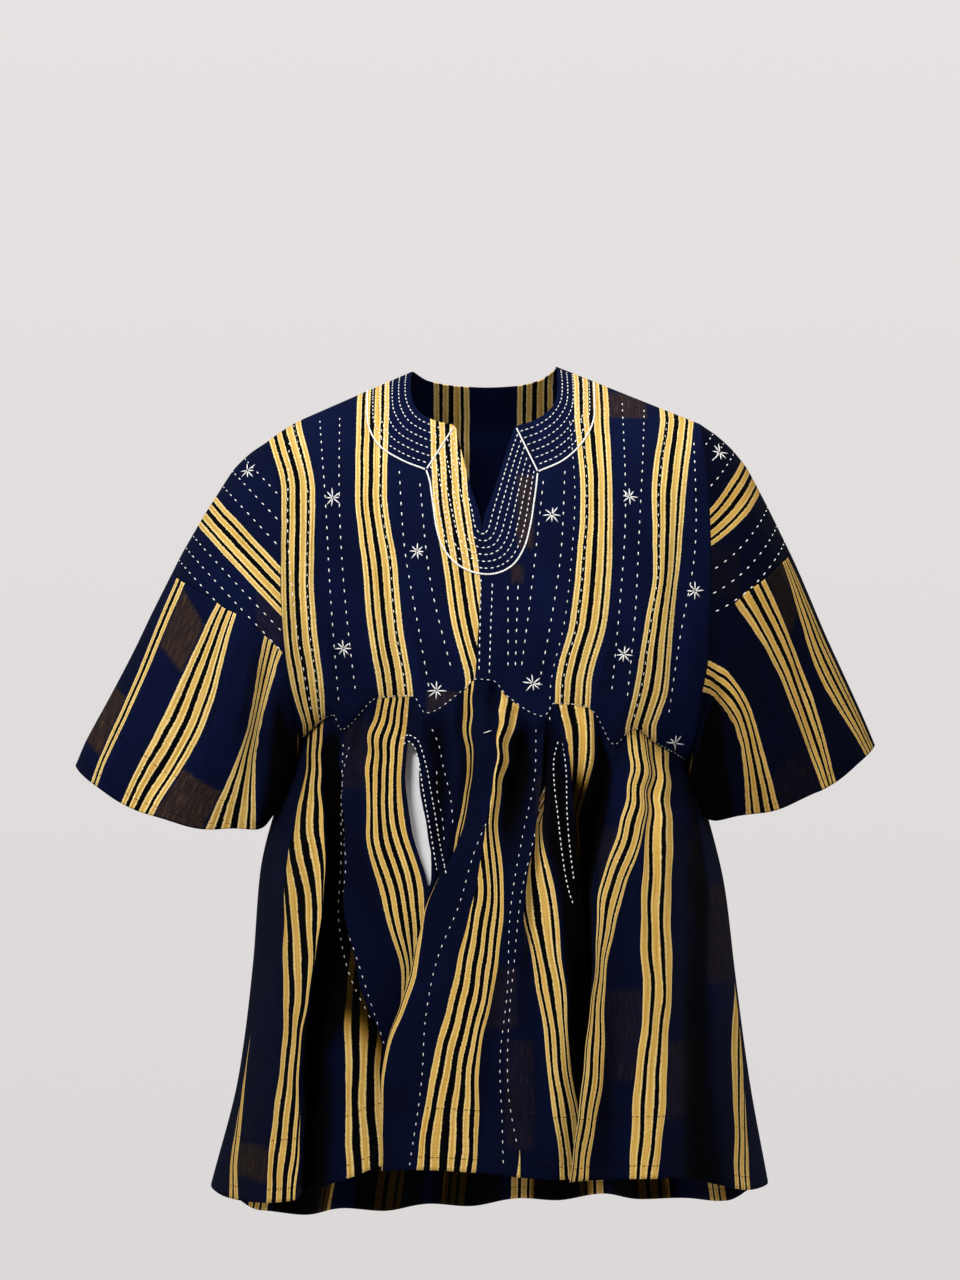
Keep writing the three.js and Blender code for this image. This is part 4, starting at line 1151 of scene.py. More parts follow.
# %% Front skirt grid
# A smooth line down the skirt through each row of a table, or through one value at every height.
def level_table(entries):
    rows = [(value,) * len(SKIRT_LEVELS) if np.isscalar(value) else value for value in entries]
    return smooth_line(SKIRT_LEVELS, np.array(rows, float).T[::-1])


# The columns of the grid: the band that each lies in, its share of the way across it, where the
# bands' lines lie on a ruler round the skirt, and where the columns do. A band that is wide in any
# row gets more columns.
def skirt_columns():
    places = np.array([row[1] for row in FRONT_SKIRT[1:-1]], float)
    outs = np.array([row[2] for row in FRONT_SKIRT[1:-1]], float)
    reach = np.hypot(np.diff(places, axis=0), np.diff(outs, axis=0)).max(axis=1)
    widths = np.concatenate([[SIDE_BAND], np.maximum(reach, 1), [SIDE_BAND]])
    knots = np.concatenate([[0], np.cumsum(widths)])
    band, share = [], []
    for k, width in enumerate(widths):
        count = max(1 if width <= 2 else 3, round(width / COLUMN_WIDTH))
        band += [k] * count
        share += list(np.arange(count) / count)
    band, share = np.array(band), np.array(share)
    return band, share, knots, np.append(knots[band] + share * widths[band], knots[-1])


# A function that gives X of every column, and how far it stands out, at the heights z.
def skirt_lines(knots, at):
    place_at = level_table([row[1] or 0 for row in FRONT_SKIRT])
    out_at = level_table([row[2] for row in FRONT_SKIRT])

    def across(z, down):
        x_lines = place_at(z)
        x_lines[..., 0] = OUTLINE["right"](down)
        x_lines[..., -1] = OUTLINE["left"](down)
        return smooth_across(knots, x_lines, at), smooth_across(knots, out_at(z), at)

    return across


# The heights at which each column meets the yoke seam and the hem. Its X there depends on the
# height and the height on its X, so a few rounds settle both.
def seam_and_hem(across, count):
    hem = smooth_line(*columns_of(FRONT_HEM, 0, 1))
    top, foot = np.full(count, SEAM_GUESS), np.full(count, HEM_GUESS)
    top[0], top[-1] = FRONT_YOKE[0][1], FRONT_YOKE[-1][1]
    for _ in range(8):
        top = np.clip(YOKE["front"](across(top, np.zeros_like(top))[0]), *SEAM_SPAN)
        foot = hem(across(foot, np.ones_like(foot))[0])
    return top, foot


print("front skirt columns", len(skirt_columns()[3]))


# %% Front skirt pattern
# How far the cloth to the right of the pocket slit gives way, up to the fold that lies over it.
def slit_gape(z, at, band, knots):
    names = [row[0] for row in FRONT_SKIRT]
    slit_left, fold_edge = names.index("pocket slit left"), names.index("slanting fold edge")
    slit = POCKET_SLIT
    along = np.clip((slit["top"] - z) / (slit["top"] - slit["foot"]), 0, 1)
    opening = np.minimum(1, along / slit["opens"]) ** 0.5
    closing = np.minimum(1, (1 - along) / slit["closes"]) ** 0.8
    beside = np.append(band > slit_left, False) & (np.append(band, len(names)) <= fold_edge)
    fade = np.exp(-np.maximum(0, at - knots[slit_left + 1]) / slit["gives"])
    holes = (band == slit_left) & (z[:-1, :-1] < slit["top"]) & (z[1:, :-1] > slit["foot"])
    return np.where(beside, slit["width"] * opening * closing * fade, 0), holes


# U at both sides of each column of faces, from the bands' places in the weaver's chart.
def lay_bands(z, band, share):
    pick = np.broadcast_to(band, z[:, :-1].shape)[..., None]
    ends = []
    for end in (0, 1):
        u_at = level_table([row[3][end] if row[3] else 0 for row in FRONT_SKIRT])
        ends.append(np.take_along_axis(u_at(z[:, :-1]), pick, -1)[..., 0])
    next_share = np.where(np.append(share[1:], 0) == 0, 1, np.append(share[1:], 0))
    return mix(*ends, share), mix(*ends, next_share), np.zeros_like(ends[0])


print("pocket slit", POCKET_SLIT["top"] - POCKET_SLIT["foot"], "mm long")


# %% Front skirt
def front_skirt():
    band, share, knots, at = skirt_columns()
    across = skirt_lines(knots, at)
    top, foot = seam_and_hem(across, len(at))
    down = np.linspace(0, 1, SKIRT_ROWS["front"])[:, None] ** ROW_CROWDING["front"]
    z = mix(top[None, :], foot[None, :], down)
    down = np.broadcast_to(down, z.shape)
    x, out = across(z, down)
    x[:, 0], x[:, -1] = OUTLINE["right"](down[:, 0]), OUTLINE["left"](down[:, 0])
    below = top[None, :] - z
    depth, place = section_depth(x, down, "front")
    out = out * ease(0, 34, below)
    out = out + gathers(7, 30, np.broadcast_to(x[0], z.shape), below)
    out = out + folds(x, z, FRONT_SKIRT_FOLDS) * ease(0, 30, below)
    gape, holes = slit_gape(z, at, band, knots)
    x = x + gape
    x = x + wobble(x, z, below) * ease(0, 25, below) * ease(0.02, 0.12, 1 - np.abs(place))
    y = -depth - out * FRONT_RELIEF * inside_seams(place)
    y[:, 0] = y[:, -1] = 0
    points = np.stack([x, y, z], axis=2)
    piece = sheet("skirt_front_cloth", points, lay_bands(z, band, share), z - foot[None, :],
                  brown(points, FRONT_SKIRT_BLOCKS), skirt_shade(out, below), front_outside,
                  holes=holes)
    print("front skirt", points.shape[:2], "slit faces", int(holes.sum()))
    return dress(piece, "skirt_front", points)


skirt_front_piece = front_skirt()


# %% [markdown]
# ## The back of the skirt
# The back is longer than the front and gathered more evenly. Its folds don't overlap, so it needs
# no lines to follow: crests and troughs are spread over its width, and each column of the grid
# fans out from its place on the yoke seam.

# %% Back skirt
def back_skirt():
    x_yoke, middle, hem_place, hem_z, *outs = columns_of(BACK_SKIRT, *range(7))
    index = np.arange(len(BACK_SKIRT))
    gather = np.linspace(0, index[-1], BACK_SKIRT_COLUMNS)[None, :]
    down = np.linspace(0, 1, SKIRT_ROWS["back"])[:, None] ** ROW_CROWDING["back"]
    mid = (x_yoke[0] + x_yoke[-1]) / 2
    half_width = (x_yoke[-1] - x_yoke[0]) / 2
    top_place = (np.interp(gather, index, x_yoke) - mid) / half_width

    def across(levels, rows):
        line = smooth_line(levels, np.stack(rows))(down[:, 0])[:, None, :]
        return smooth_across(index, np.broadcast_to(line, (len(down), gather.shape[1], len(index))),
                             gather[0])

    place = across((0, 0.5, 1), [(x_yoke - mid) / half_width, middle, hem_place])
    place = mix(top_place, place, ease(0, 0.12, down))
    out = across(BACK_LEVELS, [np.zeros_like(outs[0]), *outs])
    low_x, high_x = OUTLINE["right"](down), OUTLINE["left"](down)
    x = (low_x + high_x) / 2 + (high_x - low_x) / 2 * place
    z_top = YOKE["back"](mid + half_width * top_place)
    z_foot = smooth_line(index, hem_z)(gather)
    z = mix(z_top, z_foot, down)
    depth, _ = section_depth(x, down, "back")
    below = z_top - z
    out = out * BACK_RELIEF + gathers(11, 32, np.broadcast_to(x[0], z.shape), below)
    out = out + folds(x, z, BACK_SKIRT_FOLDS) * ease(0, 30, below)
    y = depth + out * inside_seams(place)
    x = x + BACK_SPREAD * out * place * inside_seams(place)
    y[:, 0] = y[:, -1] = 0
    points = np.stack(np.broadcast_arrays(x, y, z), axis=2)
    run = np.linalg.norm(np.diff(points[-1, :, :2], axis=0), axis=1)
    cloth = np.concatenate([[0], np.cumsum(run)])
    u = np.broadcast_to(cloth + BACK_FIRST_U, z.shape)
    piece = sheet("skirt_back_cloth", points, strips_of(u, strip_row(0, 14, BROAD, BROAD_WIDTH)),
                  z - z_foot, brown(points, BACK_SKIRT_BLOCKS, 1), skirt_shade(out, below),
                  back_outside)
    print("back skirt", points.shape[:2], "hem", round(cloth[-1]), "mm")
    return dress(piece, "skirt_back", points)


skirt_back_piece = back_skirt()

# %% [markdown]
# ## The pocket lining
# The open pocket shows a plain pale lining behind its slit. It is a small sheet that follows the
# back of the skirt's cloth, a few millimetres in, with a few soft folds of its own.


# %% Pocket lining
# heights of its ends, X of its middle at three depths, how far it reaches to each side, how far
# behind the skirt it hangs, how deep it bellies in, its small waves and its thickness, in mm, and
# the heights between which the skirt's outline runs there
LINING_PATCH = dict(top=-356.0, foot=-524.0, depths=(356, 430, 524), middles=(-78, -70, -46),
                    right=-30.0, left=34.0, behind=6.5, belly=7, wave=2.2, thickness=0.6,
                    skirt=(-340, -780))


def pocket_lining():
    patch = LINING_PATCH
    down = np.linspace(0, 1, 60)[:, None]
    across = np.linspace(0, 1, 44)[None, :]
    z = mix(patch["top"], patch["foot"], down)
    x = np.interp(-z, patch["depths"], patch["middles"])
    x = x + mix(patch["right"], patch["left"], across)
    seam, hem = patch["skirt"]
    depth, _ = section_depth(x, (z - seam) / (hem - seam), "front")
    wave = patch["wave"] * np.sin(3.1 * across * np.pi + 4 * down) * np.sin(np.pi * down)
    belly = patch["belly"] * np.sin(np.pi * across) * np.sin(np.pi * down)
    points = np.stack(np.broadcast_arrays(x, -depth + patch["behind"] + belly + wave, z), axis=2)
    u = np.broadcast_to(across * (patch["left"] - patch["right"]), points.shape[:2])
    plain = np.zeros(points.shape[:2])
    piece = sheet("pocket_lining_cloth", points, strips_of(u, ()), points[:, :, 2], plain, plain,
                  front_outside)
    thicken(piece, patch["thickness"])
    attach(piece, "root")
    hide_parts("pocket_lining_right")
    print("pocket lining", points.shape[:2])
    return piece


lining = pocket_lining()

# %% [markdown]
# ## Sewing
# White cotton thread is what makes a fugu bright: running stitches along the strips, a chain-stitch
# outline round the neck, and small stars. A stitch is one tiny rounded bead, and hundreds of them
# are joined in one mesh, so each has only twenty faces. To lie on the cloth, each line of sewing is
# cast on to it from the front or the back, and takes the cloth's own direction there.

# %% Cloth to sew on
# A tree of the named sheets' faces that a line can be cast on to.
def tree_of(*names):
    verts, faces = [], []
    for name in names:
        points = SHEETS[name] * MM
        rows, columns = points.shape[:2]
        start = len(verts)
        verts.extend(map(tuple, points.reshape(-1, 3)))
        index = start + np.arange(rows * columns).reshape(rows, columns)
        quads = np.stack([index[:-1, :-1], index[:-1, 1:], index[1:, 1:], index[1:, :-1]], axis=2)
        faces.extend(map(tuple, quads.reshape(-1, 4).tolist()))
    return BVHTree.FromPolygons(verts, faces)


SLEEVE_CLOTH = ("sleeve_cap_right_cloth", "sleeve_cap_left_cloth", "lower_sleeve_right",
                "lower_sleeve_left")
TREES = {
    "front": tree_of("yoke_front_right", "yoke_front_left", "skirt_front_cloth", *SLEEVE_CLOTH),
    "back": tree_of("yoke_back", "skirt_back_cloth", *SLEEVE_CLOTH),
}


# The point on the cloth in front of, or behind, (x, z) in mm, and the cloth's direction there.
def on_cloth(x, z, face="front", tree=None):
    sign = -1 if face == "front" else 1
    tree = tree or TREES[face]
    hit, normal, _, _ = tree.ray_cast(Vector((x * MM, sign, z * MM)), Vector((0, -sign, 0)))
    if hit is None:
        return None
    if normal.y * sign < 0:
        normal = -normal
    return np.array(hit), np.array(normal)


print("sheets to sew on", len(SHEETS))

# %% Stitch kit
# mm between the points of a line of sewing, height of a stitch above the cloth and its thickness as
# shares of its width, and the length of a star's arms
PATH_STEP = 1.5
STITCH_LIFT, STITCH_DEPTH = 0.35, 0.36
STAR_REACH, STAR_WIDTH = 9.4, 1.4
STITCHES = []
stitch_draw = np.random.default_rng(3)


# Points along a smooth curve through the given ones.
def smooth_path(points):
    points = np.array(points, float)
    steps = np.linalg.norm(np.diff(points, axis=0), axis=1)
    knots = np.concatenate([[0], np.cumsum(steps)])
    fine = np.arange(0, knots[-1], PATH_STEP)
    if len(points) < 3:
        return np.stack([np.interp(fine, knots, points[:, i]) for i in range(2)], axis=1)
    tangent = np.gradient(points, knots, axis=0)
    i = np.clip(np.searchsorted(knots, fine, side="right") - 1, 0, len(knots) - 2)
    span = (knots[i + 1] - knots[i])[:, None]
    s = ((fine - knots[i]) / span[:, 0])[:, None]
    a, b = points[i], points[i + 1]
    return ((2 * s**3 - 3 * s**2 + 1) * a + (s**3 - 2 * s**2 + s) * span * tangent[i]
            + (-2 * s**3 + 3 * s**2) * b + (s**3 - s**2) * span * tangent[i + 1])


print("a line of sewing has a point every", PATH_STEP, "mm")


# %% Stitches and stars
# One stitch from a to b: its middle, and its half length, width and depth as three directions.
def stitch(a, b, normal, width):
    along = b - a
    length = np.linalg.norm(along)
    if length < 1e-5:
        return
    along = along / length
    normal = normal - along * normal.dot(along)
    normal /= np.linalg.norm(normal)
    side = np.cross(normal, along)
    middle = (a + b) / 2 + normal * width * STITCH_LIFT * MM
    STITCHES.append((middle, along * length / 2, side * width / 2 * MM,
                     normal * width * STITCH_DEPTH * MM))


# A row of stitches along a path on the cloth. on is the length of a stitch, and pitch the distance
# from one to the next, in mm. Stitches set closer than their length overlap as a chain.
def sew(path, on=4.2, pitch=10.6, width=1.25, face="front", wander=0.4, tree=None):
    found = [on_cloth(x, z, face, tree) for x, z in smooth_path(path)]
    found = [f for f in found if f is not None]
    if len(found) < 3:
        return
    places = np.array([f[0] for f in found])
    normals = np.array([f[1] for f in found])
    steps = np.linalg.norm(np.diff(places, axis=0), axis=1)
    knots = np.concatenate([[0], np.cumsum(steps)]) / MM
    lead = 0 if pitch < on else pitch * 0.3
    count = max(1, int((knots[-1] - lead - on) / pitch) + 1)
    step = (knots[-1] - lead - on) / max(1, count - 1) if pitch < on else pitch
    for at in lead + np.arange(count) * step:
        start = at + stitch_draw.uniform(-0.5, 0.5) * wander * 2
        ends = []
        for s in (start, start + on * stitch_draw.uniform(0.86, 1.1)):
            ends.append(np.array([np.interp(s, knots, places[:, i]) for i in range(3)]))
        normal = np.array([np.interp(start, knots, normals[:, i]) for i in range(3)])
        if np.linalg.norm(ends[1] - ends[0]) < on * 1.8 * MM:
            stitch(ends[0], ends[1], normal, width)


# Eight arms from one point, each a little off its angle and its length.
def star(x, z, face="front"):
    found = on_cloth(x, z, face)
    if found is None:
        return
    centre, normal = found
    for k in range(8):
        angle = math.pi * k / 4 + stitch_draw.uniform(-0.16, 0.16)
        length = STAR_REACH * stitch_draw.uniform(0.75, 1.15)
        tip = on_cloth(x + length * math.cos(angle), z + length * math.sin(angle), face)
        if tip is not None and np.linalg.norm(tip[0] - centre) < 1.6 * STAR_REACH * MM:
            stitch(centre, tip[0], normal + tip[1], STAR_WIDTH)


print("a star's arms are about", STAR_REACH, "mm long")


# %% Beads
# Joins the stitches since the last piece in one mesh of rounded beads.
def sewn_piece(name):
    bm = bmesh.new()
    bmesh.ops.create_icosphere(bm, subdivisions=1, radius=1)
    bead = np.array([v.co for v in bm.verts])
    shell = [[v.index for v in f.verts] for f in bm.faces]
    bm.free()
    frames = np.array([[along, side, up] for _, along, side, up in STITCHES])
    middles = np.array([middle for middle, *_ in STITCHES])
    verts = np.einsum("vk,nkc->nvc", bead, frames) + middles[:, None, :]
    shift = np.arange(len(STITCHES))[:, None, None] * len(bead)
    faces = (np.array(shell)[None] + shift).reshape(-1, 3)
    mesh = bpy.data.meshes.new(name)
    mesh.from_pydata(verts.reshape(-1, 3).tolist(), [], faces.tolist())
    for polygon in mesh.polygons:
        polygon.use_smooth = True
    piece = bpy.data.objects.new(name, mesh)
    bpy.context.scene.collection.objects.link(piece)
    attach(piece, "root")
    print(name, len(STITCHES), "stitches")
    STITCHES.clear()
    return piece


# %% [markdown]
# ## Lines of sewing on the front
# The lines are given as a few points on the front, in mm from the middle of the neck. Most run down
# the strips. The neck has six rows of running stitch between its edge and a chain-stitch outline,
# which meet in a mitre at the corners of the slit, so each row is a mix of two curves.

# %% Sewing down the strips
# every point is (X, Z); GROUP_LINES gives U of the lines that follow the groups of stripes
FRONT_LINES = (
    ((-166, -49), (-159, -122), (-153, -222), (-145, -330)),
    ((-146, -46), (-143, -165), (-137, -242), (-128, -322)),
    ((-86, -100), (-80, -180), (-68, -249), (-55, -322)),
    ((-66, -112), (-55, -211), (-33, -303)),
    ((20, -212), (20, -298)),
    ((55, -110), (49, -165), (40, -242), (32, -303)),
    ((76, -100), (71, -188), (59, -265), (49, -315)),
    ((134, -31), (134, -165), (128, -242), (120, -328)),
    ((156, -38), (148, -165), (144, -242), (136, -328)),
    ((205, -70), (203, -188), (189, -265), (178, -342)),
    ((-196, -70), (-195, -180), (-186, -260), (-173, -340)),
    ((30, -212), (27, -300)),
)
DENSE_LINES = (((-6, -207), (-8, -302)), ((5, -211), (2, -302)))
GROUP_LINES = {"right": (73.2, 153.2), "left": (41, 52.7, 132.7)}
STARS = ((-151, -129), (-68, -182), (-140, -276), (-49, -317), (63, -146), (44, -310), (139, -128),
         (133, -282), (204, -220), (186, -370), (-238, -100), (231, -82))
print("lines", len(FRONT_LINES) + len(DENSE_LINES), "stars", len(STARS))

# %% Sewing round the neck
# the neck's edge, and the outline that the chain stitch follows, point by point
COLLAR = {
    "right": (((-75, 1), (-76, -14), (-74, -30), (-66, -44), (-50, -53), (-32, -58)),
              ((-119, -18), (-118.5, -36), (-117, -56), (-106, -77), (-84, -92), (-59.5, -102))),
    "left": (((69, 3), (70, -13), (68, -30), (60, -43), (45, -53), (28, -59)),
             ((106, -12), (106, -30), (105, -50), (95, -72), (75, -92), (49.4, -104))),
    "back": (((-75, 1), (-58, -8), (-30, -12), (0, -13), (28, -12), (53, -7), (69, 3)),
             ((-119, -20), (-98, -44), (-52, -56), (0, -59), (48, -56), (88, -44), (106, -14))),
}
# the same down the slit, as pairs of points on the edge and the outline
PLACKET = (
    ((-32, -58), (-59.5, -102)), ((-28, -73), (-56, -113)), ((-23, -92), (-54, -127)),
    ((-17, -115), (-52, -141)), ((-10, -140), (-49.5, -158)), ((-5, -160), (-43, -178)),
    ((-5, -160), (-28.4, -195)), ((-5, -160), (-10.9, -203)), ((-5, -160), (10.5, -203)),
    ((-5, -160), (25, -195)), ((-5, -160), (35, -180)), ((1, -140), (41.6, -158)),
    ((9, -115), (45.5, -134)), ((15, -96), (47.5, -120)), ((22, -75), (48.5, -111)),
    ((28, -59), (49.4, -104)),
)
# how far from the edge to the outline the six rows of running stitch lie
NECK_ROWS = (0.12, 0.27, 0.42, 0.57, 0.72, 0.87)
print("rows round the neck", len(NECK_ROWS))

# %% Sewing on the skirt and the sleeves
SKIRT_LINES = (
    ((-141, -368), (-141, -451), (-137, -480), (-139, -535), (-127, -571), (-107, -633),
     (-98, -661)),
    ((-134, -370), (-139, -390), (-143, -489), (-145, -540), (-135, -589), (-110, -640)),
    ((0, -441), (-11, -467), (-27, -521), (-48, -573), (-59, -630), (-62, -682), (-74, -768)),
    ((-55, -352), (-48, -366), (-42, -392), (-35, -421), (-33, -450)),
    ((-49, -392), (-48, -418), (-43, -440), (-41, -470)),
    ((47, -352), (46, -400), (35, -452), (22, -527), (19, -604), (12, -669), (14, -726),
     (15, -768)),
    ((56, -410), (44, -462), (32, -514), (26, -571), (20, -640), (20, -700), (29, -753)),
)
POCKET_ROWS = (
    ((-84, -365), (-77, -360), (-68, -364), (-62, -378), (-55, -412), (-48, -450), (-42, -480),
     (-39, -493)),
    ((-82, -370), (-76, -366), (-71, -370), (-67, -382), (-62, -412), (-57, -440), (-52, -469),
     (-48, -493)),
    ((69, -365), (65, -380), (65, -410), (68, -436), (72, -473), (78, -508), (84, -527)),
    ((73, -366), (76, -392), (77, -436), (80, -473), (84, -504)),
)
STRAY_STITCH = ((-8, -359), (5, -355))
# X of the ends of the rows along the yoke seam, their number of points, and mm above the seam
SEAM_STITCHES = {"front": (-185, 200), "back": (-176, 200), "points": 190, "above": 1.2}
# U of the rows round each upper sleeve, and how far across the arm from its top line they run
CAP_ROWS = {"right": (30, 48, 66, 124, 138, 152), "left": (18, 34, 50, 116, 136, 153)}
CAP_REACH = (-34, 120)
print("lines", len(SKIRT_LINES), "rows at the pockets", len(POCKET_ROWS))


# %% Paths for the needle
# The path of a line that keeps its U down the yoke.
def along_course(groups, u):
    rows = np.array(groups, float)
    places = [np.interp(u, rows[:, 0], rows[:, 1 + i]) for i in range(len(YOKE_LEVELS))]
    return [(x, z) for x, z in zip(places, YOKE_LEVELS)][::-1]


# A path between two others, given as pairs of their points.
def between(pairs, share):
    return [tuple(mix(np.array(a, float), np.array(b, float), share)) for a, b in pairs]


# The rows of running stitch between an edge and its outline, and the chain stitch on the outline.
def sew_neck(pairs, face="front"):
    for share in NECK_ROWS:
        sew(between(pairs, share), on=3.8, pitch=5.6, width=1.25, face=face)
    sew(between(pairs, 1), on=3.4, pitch=2.4, width=2.1, face=face, wander=0)


# The path of a row that keeps its U round an upper sleeve.
def on_cap(side, u):
    top, line = arm_axis(ARMS[side])
    aside = np.array([-ARMS[side]["side"] * abs(line[1]), -abs(line[0])])
    lean, bend = CAP_GROUPS[side]["lean"], CAP_GROUPS[side]["bend"]
    return [tuple(top + line * (u + (lean - bend * s) * s) + aside * s)
            for s in np.linspace(*CAP_REACH, 7)]


# The path along the yoke seam.
def seam_path(face):
    xs = np.linspace(*SEAM_STITCHES[face], SEAM_STITCHES["points"])
    return [(x, float(YOKE[face](x)) + SEAM_STITCHES["above"]) for x in xs]


trial = on_cap("right", CAP_ROWS["right"][0])
print("a row of the right cap starts at", [round(value) for value in trial[0]])


# %% Sewing on the front
def front_sewing():
    for line in FRONT_LINES:
        sew(line)
    for line in DENSE_LINES:
        sew(line, on=4, pitch=7)
    for side, groups in (("right", RIGHT_GROUPS), ("left", LEFT_GROUPS)):
        for u in GROUP_LINES[side]:
            sew(along_course(groups, u), on=3.4, pitch=10.5, width=0.95)
        sew_neck(list(zip(*COLLAR[side])))
    sew_neck(PLACKET)
    for corner, tip in (PLACKET[0], PLACKET[-1]):
        sew((corner, tip), on=3.4, pitch=2.4, width=2, wander=0)
    for x, z in STARS:
        star(x, z)
    return sewn_piece("yoke_sewing")


def skirt_sewing():
    sew(seam_path("front"), on=3.2, pitch=6.4, width=0.85)
    for line in SKIRT_LINES:
        sew(line, on=3.6, pitch=9.5, width=0.85)
    for line in POCKET_ROWS:
        sew(line, on=3.2, pitch=5.2, width=1.25)
    sew(STRAY_STITCH, on=11, pitch=12, width=1)
    return sewn_piece("skirt_sewing")


def cap_sewing(side):
    tree = tree_of(f"sleeve_cap_{side}_cloth")
    for u in CAP_ROWS[side]:
        for face in ("front", "back"):
            sew(on_cap(side, u), face=face, tree=tree)
    return sewn_piece(f"sleeve_cap_sewing_{side}")


SEWN = [front_sewing(), skirt_sewing(), cap_sewing("right"), cap_sewing("left")]

# %% [markdown]
# ## Lines of sewing on the back
# The back is sewn in the same manner, with straighter lines, one curve of rows round the neck and a
# chain along the yoke seam.

# %% Back sewing tables
BACK_LINES = tuple(
    ((x, -44 - abs(x) * 0.1), (x * 0.97, -190), (x * 0.9 + 1, -318 - abs(x) * 0.1))
    for x in (-172, -150, -128, -86, -64, -42, 0, 22, 44, 86, 108, 130, 172, 190)
)
BACK_STARS = ((-140, -120), (-50, -180), (10, -110), (76, -160), (160, -130), (-110, -270),
              (44, -280), (130, -290))
print("lines", len(BACK_LINES), "stars", len(BACK_STARS))


# %% Sewing on the back
def back_sewing():
    for line in BACK_LINES:
        sew(line, face="back")
    sew_neck(list(zip(*COLLAR["back"])), face="back")
    sew(seam_path("back"), on=2.8, pitch=2.7, width=1.3, face="back", wander=0)
    for x, z in BACK_STARS:
        star(x, z, face="back")
    return sewn_piece("back_sewing")


SEWN.append(back_sewing())

# %% [markdown]
# ## Finishes
# Cotton is matt: high roughness, low specular and a little sheen from its nap. The pattern comes
# from the weaver's chart in a colour ramp on U. What makes it cotton is small: warp threads of
# slightly different darkness, gold lines whose edges wander by half a thread, ribs of the weft, and
# a weave bump. Node maths is written as Python expressions by one small class.


# %% Node maths
class Finish:
    """A material in the making. node() adds any node, and the rest are short names for it."""

    def __init__(self, name):
        self.material = bpy.data.materials.new(name)
        self.material.use_nodes = True
        self.tree = self.material.node_tree
        self.tree.nodes.clear()

    def node(self, kind, settings=None, sockets=None):
        node = self.tree.nodes.new("ShaderNode" + kind)
        for key, value in (settings or {}).items():
            if key == "stops":
                ramp = node.color_ramp
                ramp.interpolation = "CONSTANT"
                ramp.elements[0].position, ramp.elements[0].color = value[0]
                ramp.elements.remove(ramp.elements[1])
                for position, colour in value[1:]:
                    ramp.elements.new(position).color = colour
            else:
                setattr(node, key, value)
        for key, value in (sockets or {}).items():
            if isinstance(value, Value):
                self.tree.links.new(value.socket, node.inputs[key])
            else:
                node.inputs[key].default_value = value
        return node

    def value(self, kind, settings=None, sockets=None, output=0):
        return Value(self, self.node(kind, settings, sockets).outputs[output])

    def maths(self, operation, *values, clamp=False):
        settings = {"operation": operation, "use_clamp": clamp}
        return self.value("Math", settings, dict(enumerate(values)))

    def colour_mix(self, a, b, factor):
        return self.value("Mix", {"data_type": "RGBA"}, {0: factor, 6: a, 7: b}, output=2)

    def dimmed(self, colour, by):
        return self.value("VectorMath", {"operation": "SCALE"}, {0: colour, "Scale": by})

    def scaled(self, vector, x, y):
        return self.value("VectorMath", {"operation": "MULTIPLY"}, {0: vector, 1: (x, y, 1.0)})

    def noise(self, vector, scale, detail=2.0):
        return self.value("TexNoise", None, {"Vector": vector, "Scale": scale, "Detail": detail})

    def surface(self, sockets):
        shader = self.node("BsdfPrincipled", None, sockets)
        output = self.node("OutputMaterial")
        self.tree.links.new(shader.outputs[0], output.inputs[0])
        return self.material


# %% Numbers from nodes
class Value:
    """A number or colour that nodes work out, with Python's operators."""

    def __init__(self, finish, socket):
        self.finish = finish
        self.socket = socket

    def __add__(self, other):
        return self.finish.maths("ADD", self, other)

    __radd__ = __add__

    def __sub__(self, other):
        return self.finish.maths("SUBTRACT", self, other)

    def __rsub__(self, other):
        return self.finish.maths("SUBTRACT", other, self)

    def __mul__(self, other):
        return self.finish.maths("MULTIPLY", self, other)

    __rmul__ = __mul__

    def __truediv__(self, other):
        return self.finish.maths("DIVIDE", self, other)

    def __lt__(self, other):
        return self.finish.maths("LESS_THAN", self, other)

    def __gt__(self, other):
        return self.finish.maths("GREATER_THAN", self, other)


trial = Finish("trial")
wave = 1.0 - trial.maths("SINE", 0.5) * 0.5
print("an expression made", len(trial.tree.nodes), "nodes, ending in", wave.socket.node.operation)
bpy.data.materials.remove(trial.material)

# %% Colours
# every colour is linear, with a last 1 for its cover
NAVY = (0.0019, 0.0038, 0.0182, 1)
NAVY_LIGHT = (0.0034, 0.0073, 0.0415, 1)
BLACK = (0.0012, 0.0014, 0.0026, 1)
GOLD = (0.70, 0.43, 0.09, 1)
GOLD_LIGHT = (0.98, 0.80, 0.38, 1)
GOLD_DEEP = (0.46, 0.235, 0.03, 1)
BROWN = (0.022, 0.0145, 0.014, 1)
BROWN_LIGHT = (0.13, 0.075, 0.042, 1)
THREAD, THREAD_DEEP = (0.96, 0.95, 0.93, 1), (0.78, 0.77, 0.75, 1)
LINING, LINING_DEEP = (0.93, 0.93, 0.94, 1), (0.72, 0.73, 0.75, 1)
PAPER, PAPER_DEEP = (0.74, 0.72, 0.72, 1), (0.70, 0.69, 0.69, 1)
# in metres of cloth: from thread to thread, from rib to rib, the hem's rows of stitches above its
# edge, their spacing and half their thread's width
THREAD_PITCH, RIB_PITCH = 0.0009, 0.0021
HEM_ROWS, HEM_DASH, HEM_THREAD = (0.012, 0.058), 0.0052, 0.0005
# width of the pale edge of a gold line, in mm
LINE_EDGE = 1.3
# how dark the painted shade turns the cloth's colour in the deepest hollow
HOLLOW_SHADE = 0.95
# the painted shade dims gold lines less than navy, except in the deepest hollows
GOLD_HOLDS = 2.4
print("threads to the mm", round(MM / THREAD_PITCH, 2))

# %% [markdown]
# ## The striped cloth
# The real stripes are threads of the warp, so they run down a strip without a break. Here a colour
# ramp reads the chart, and its red, green and blue stand for gold, black and the pale edge of a
# gold line. A painted picture could hold the same, but a ramp stays sharp from any distance.

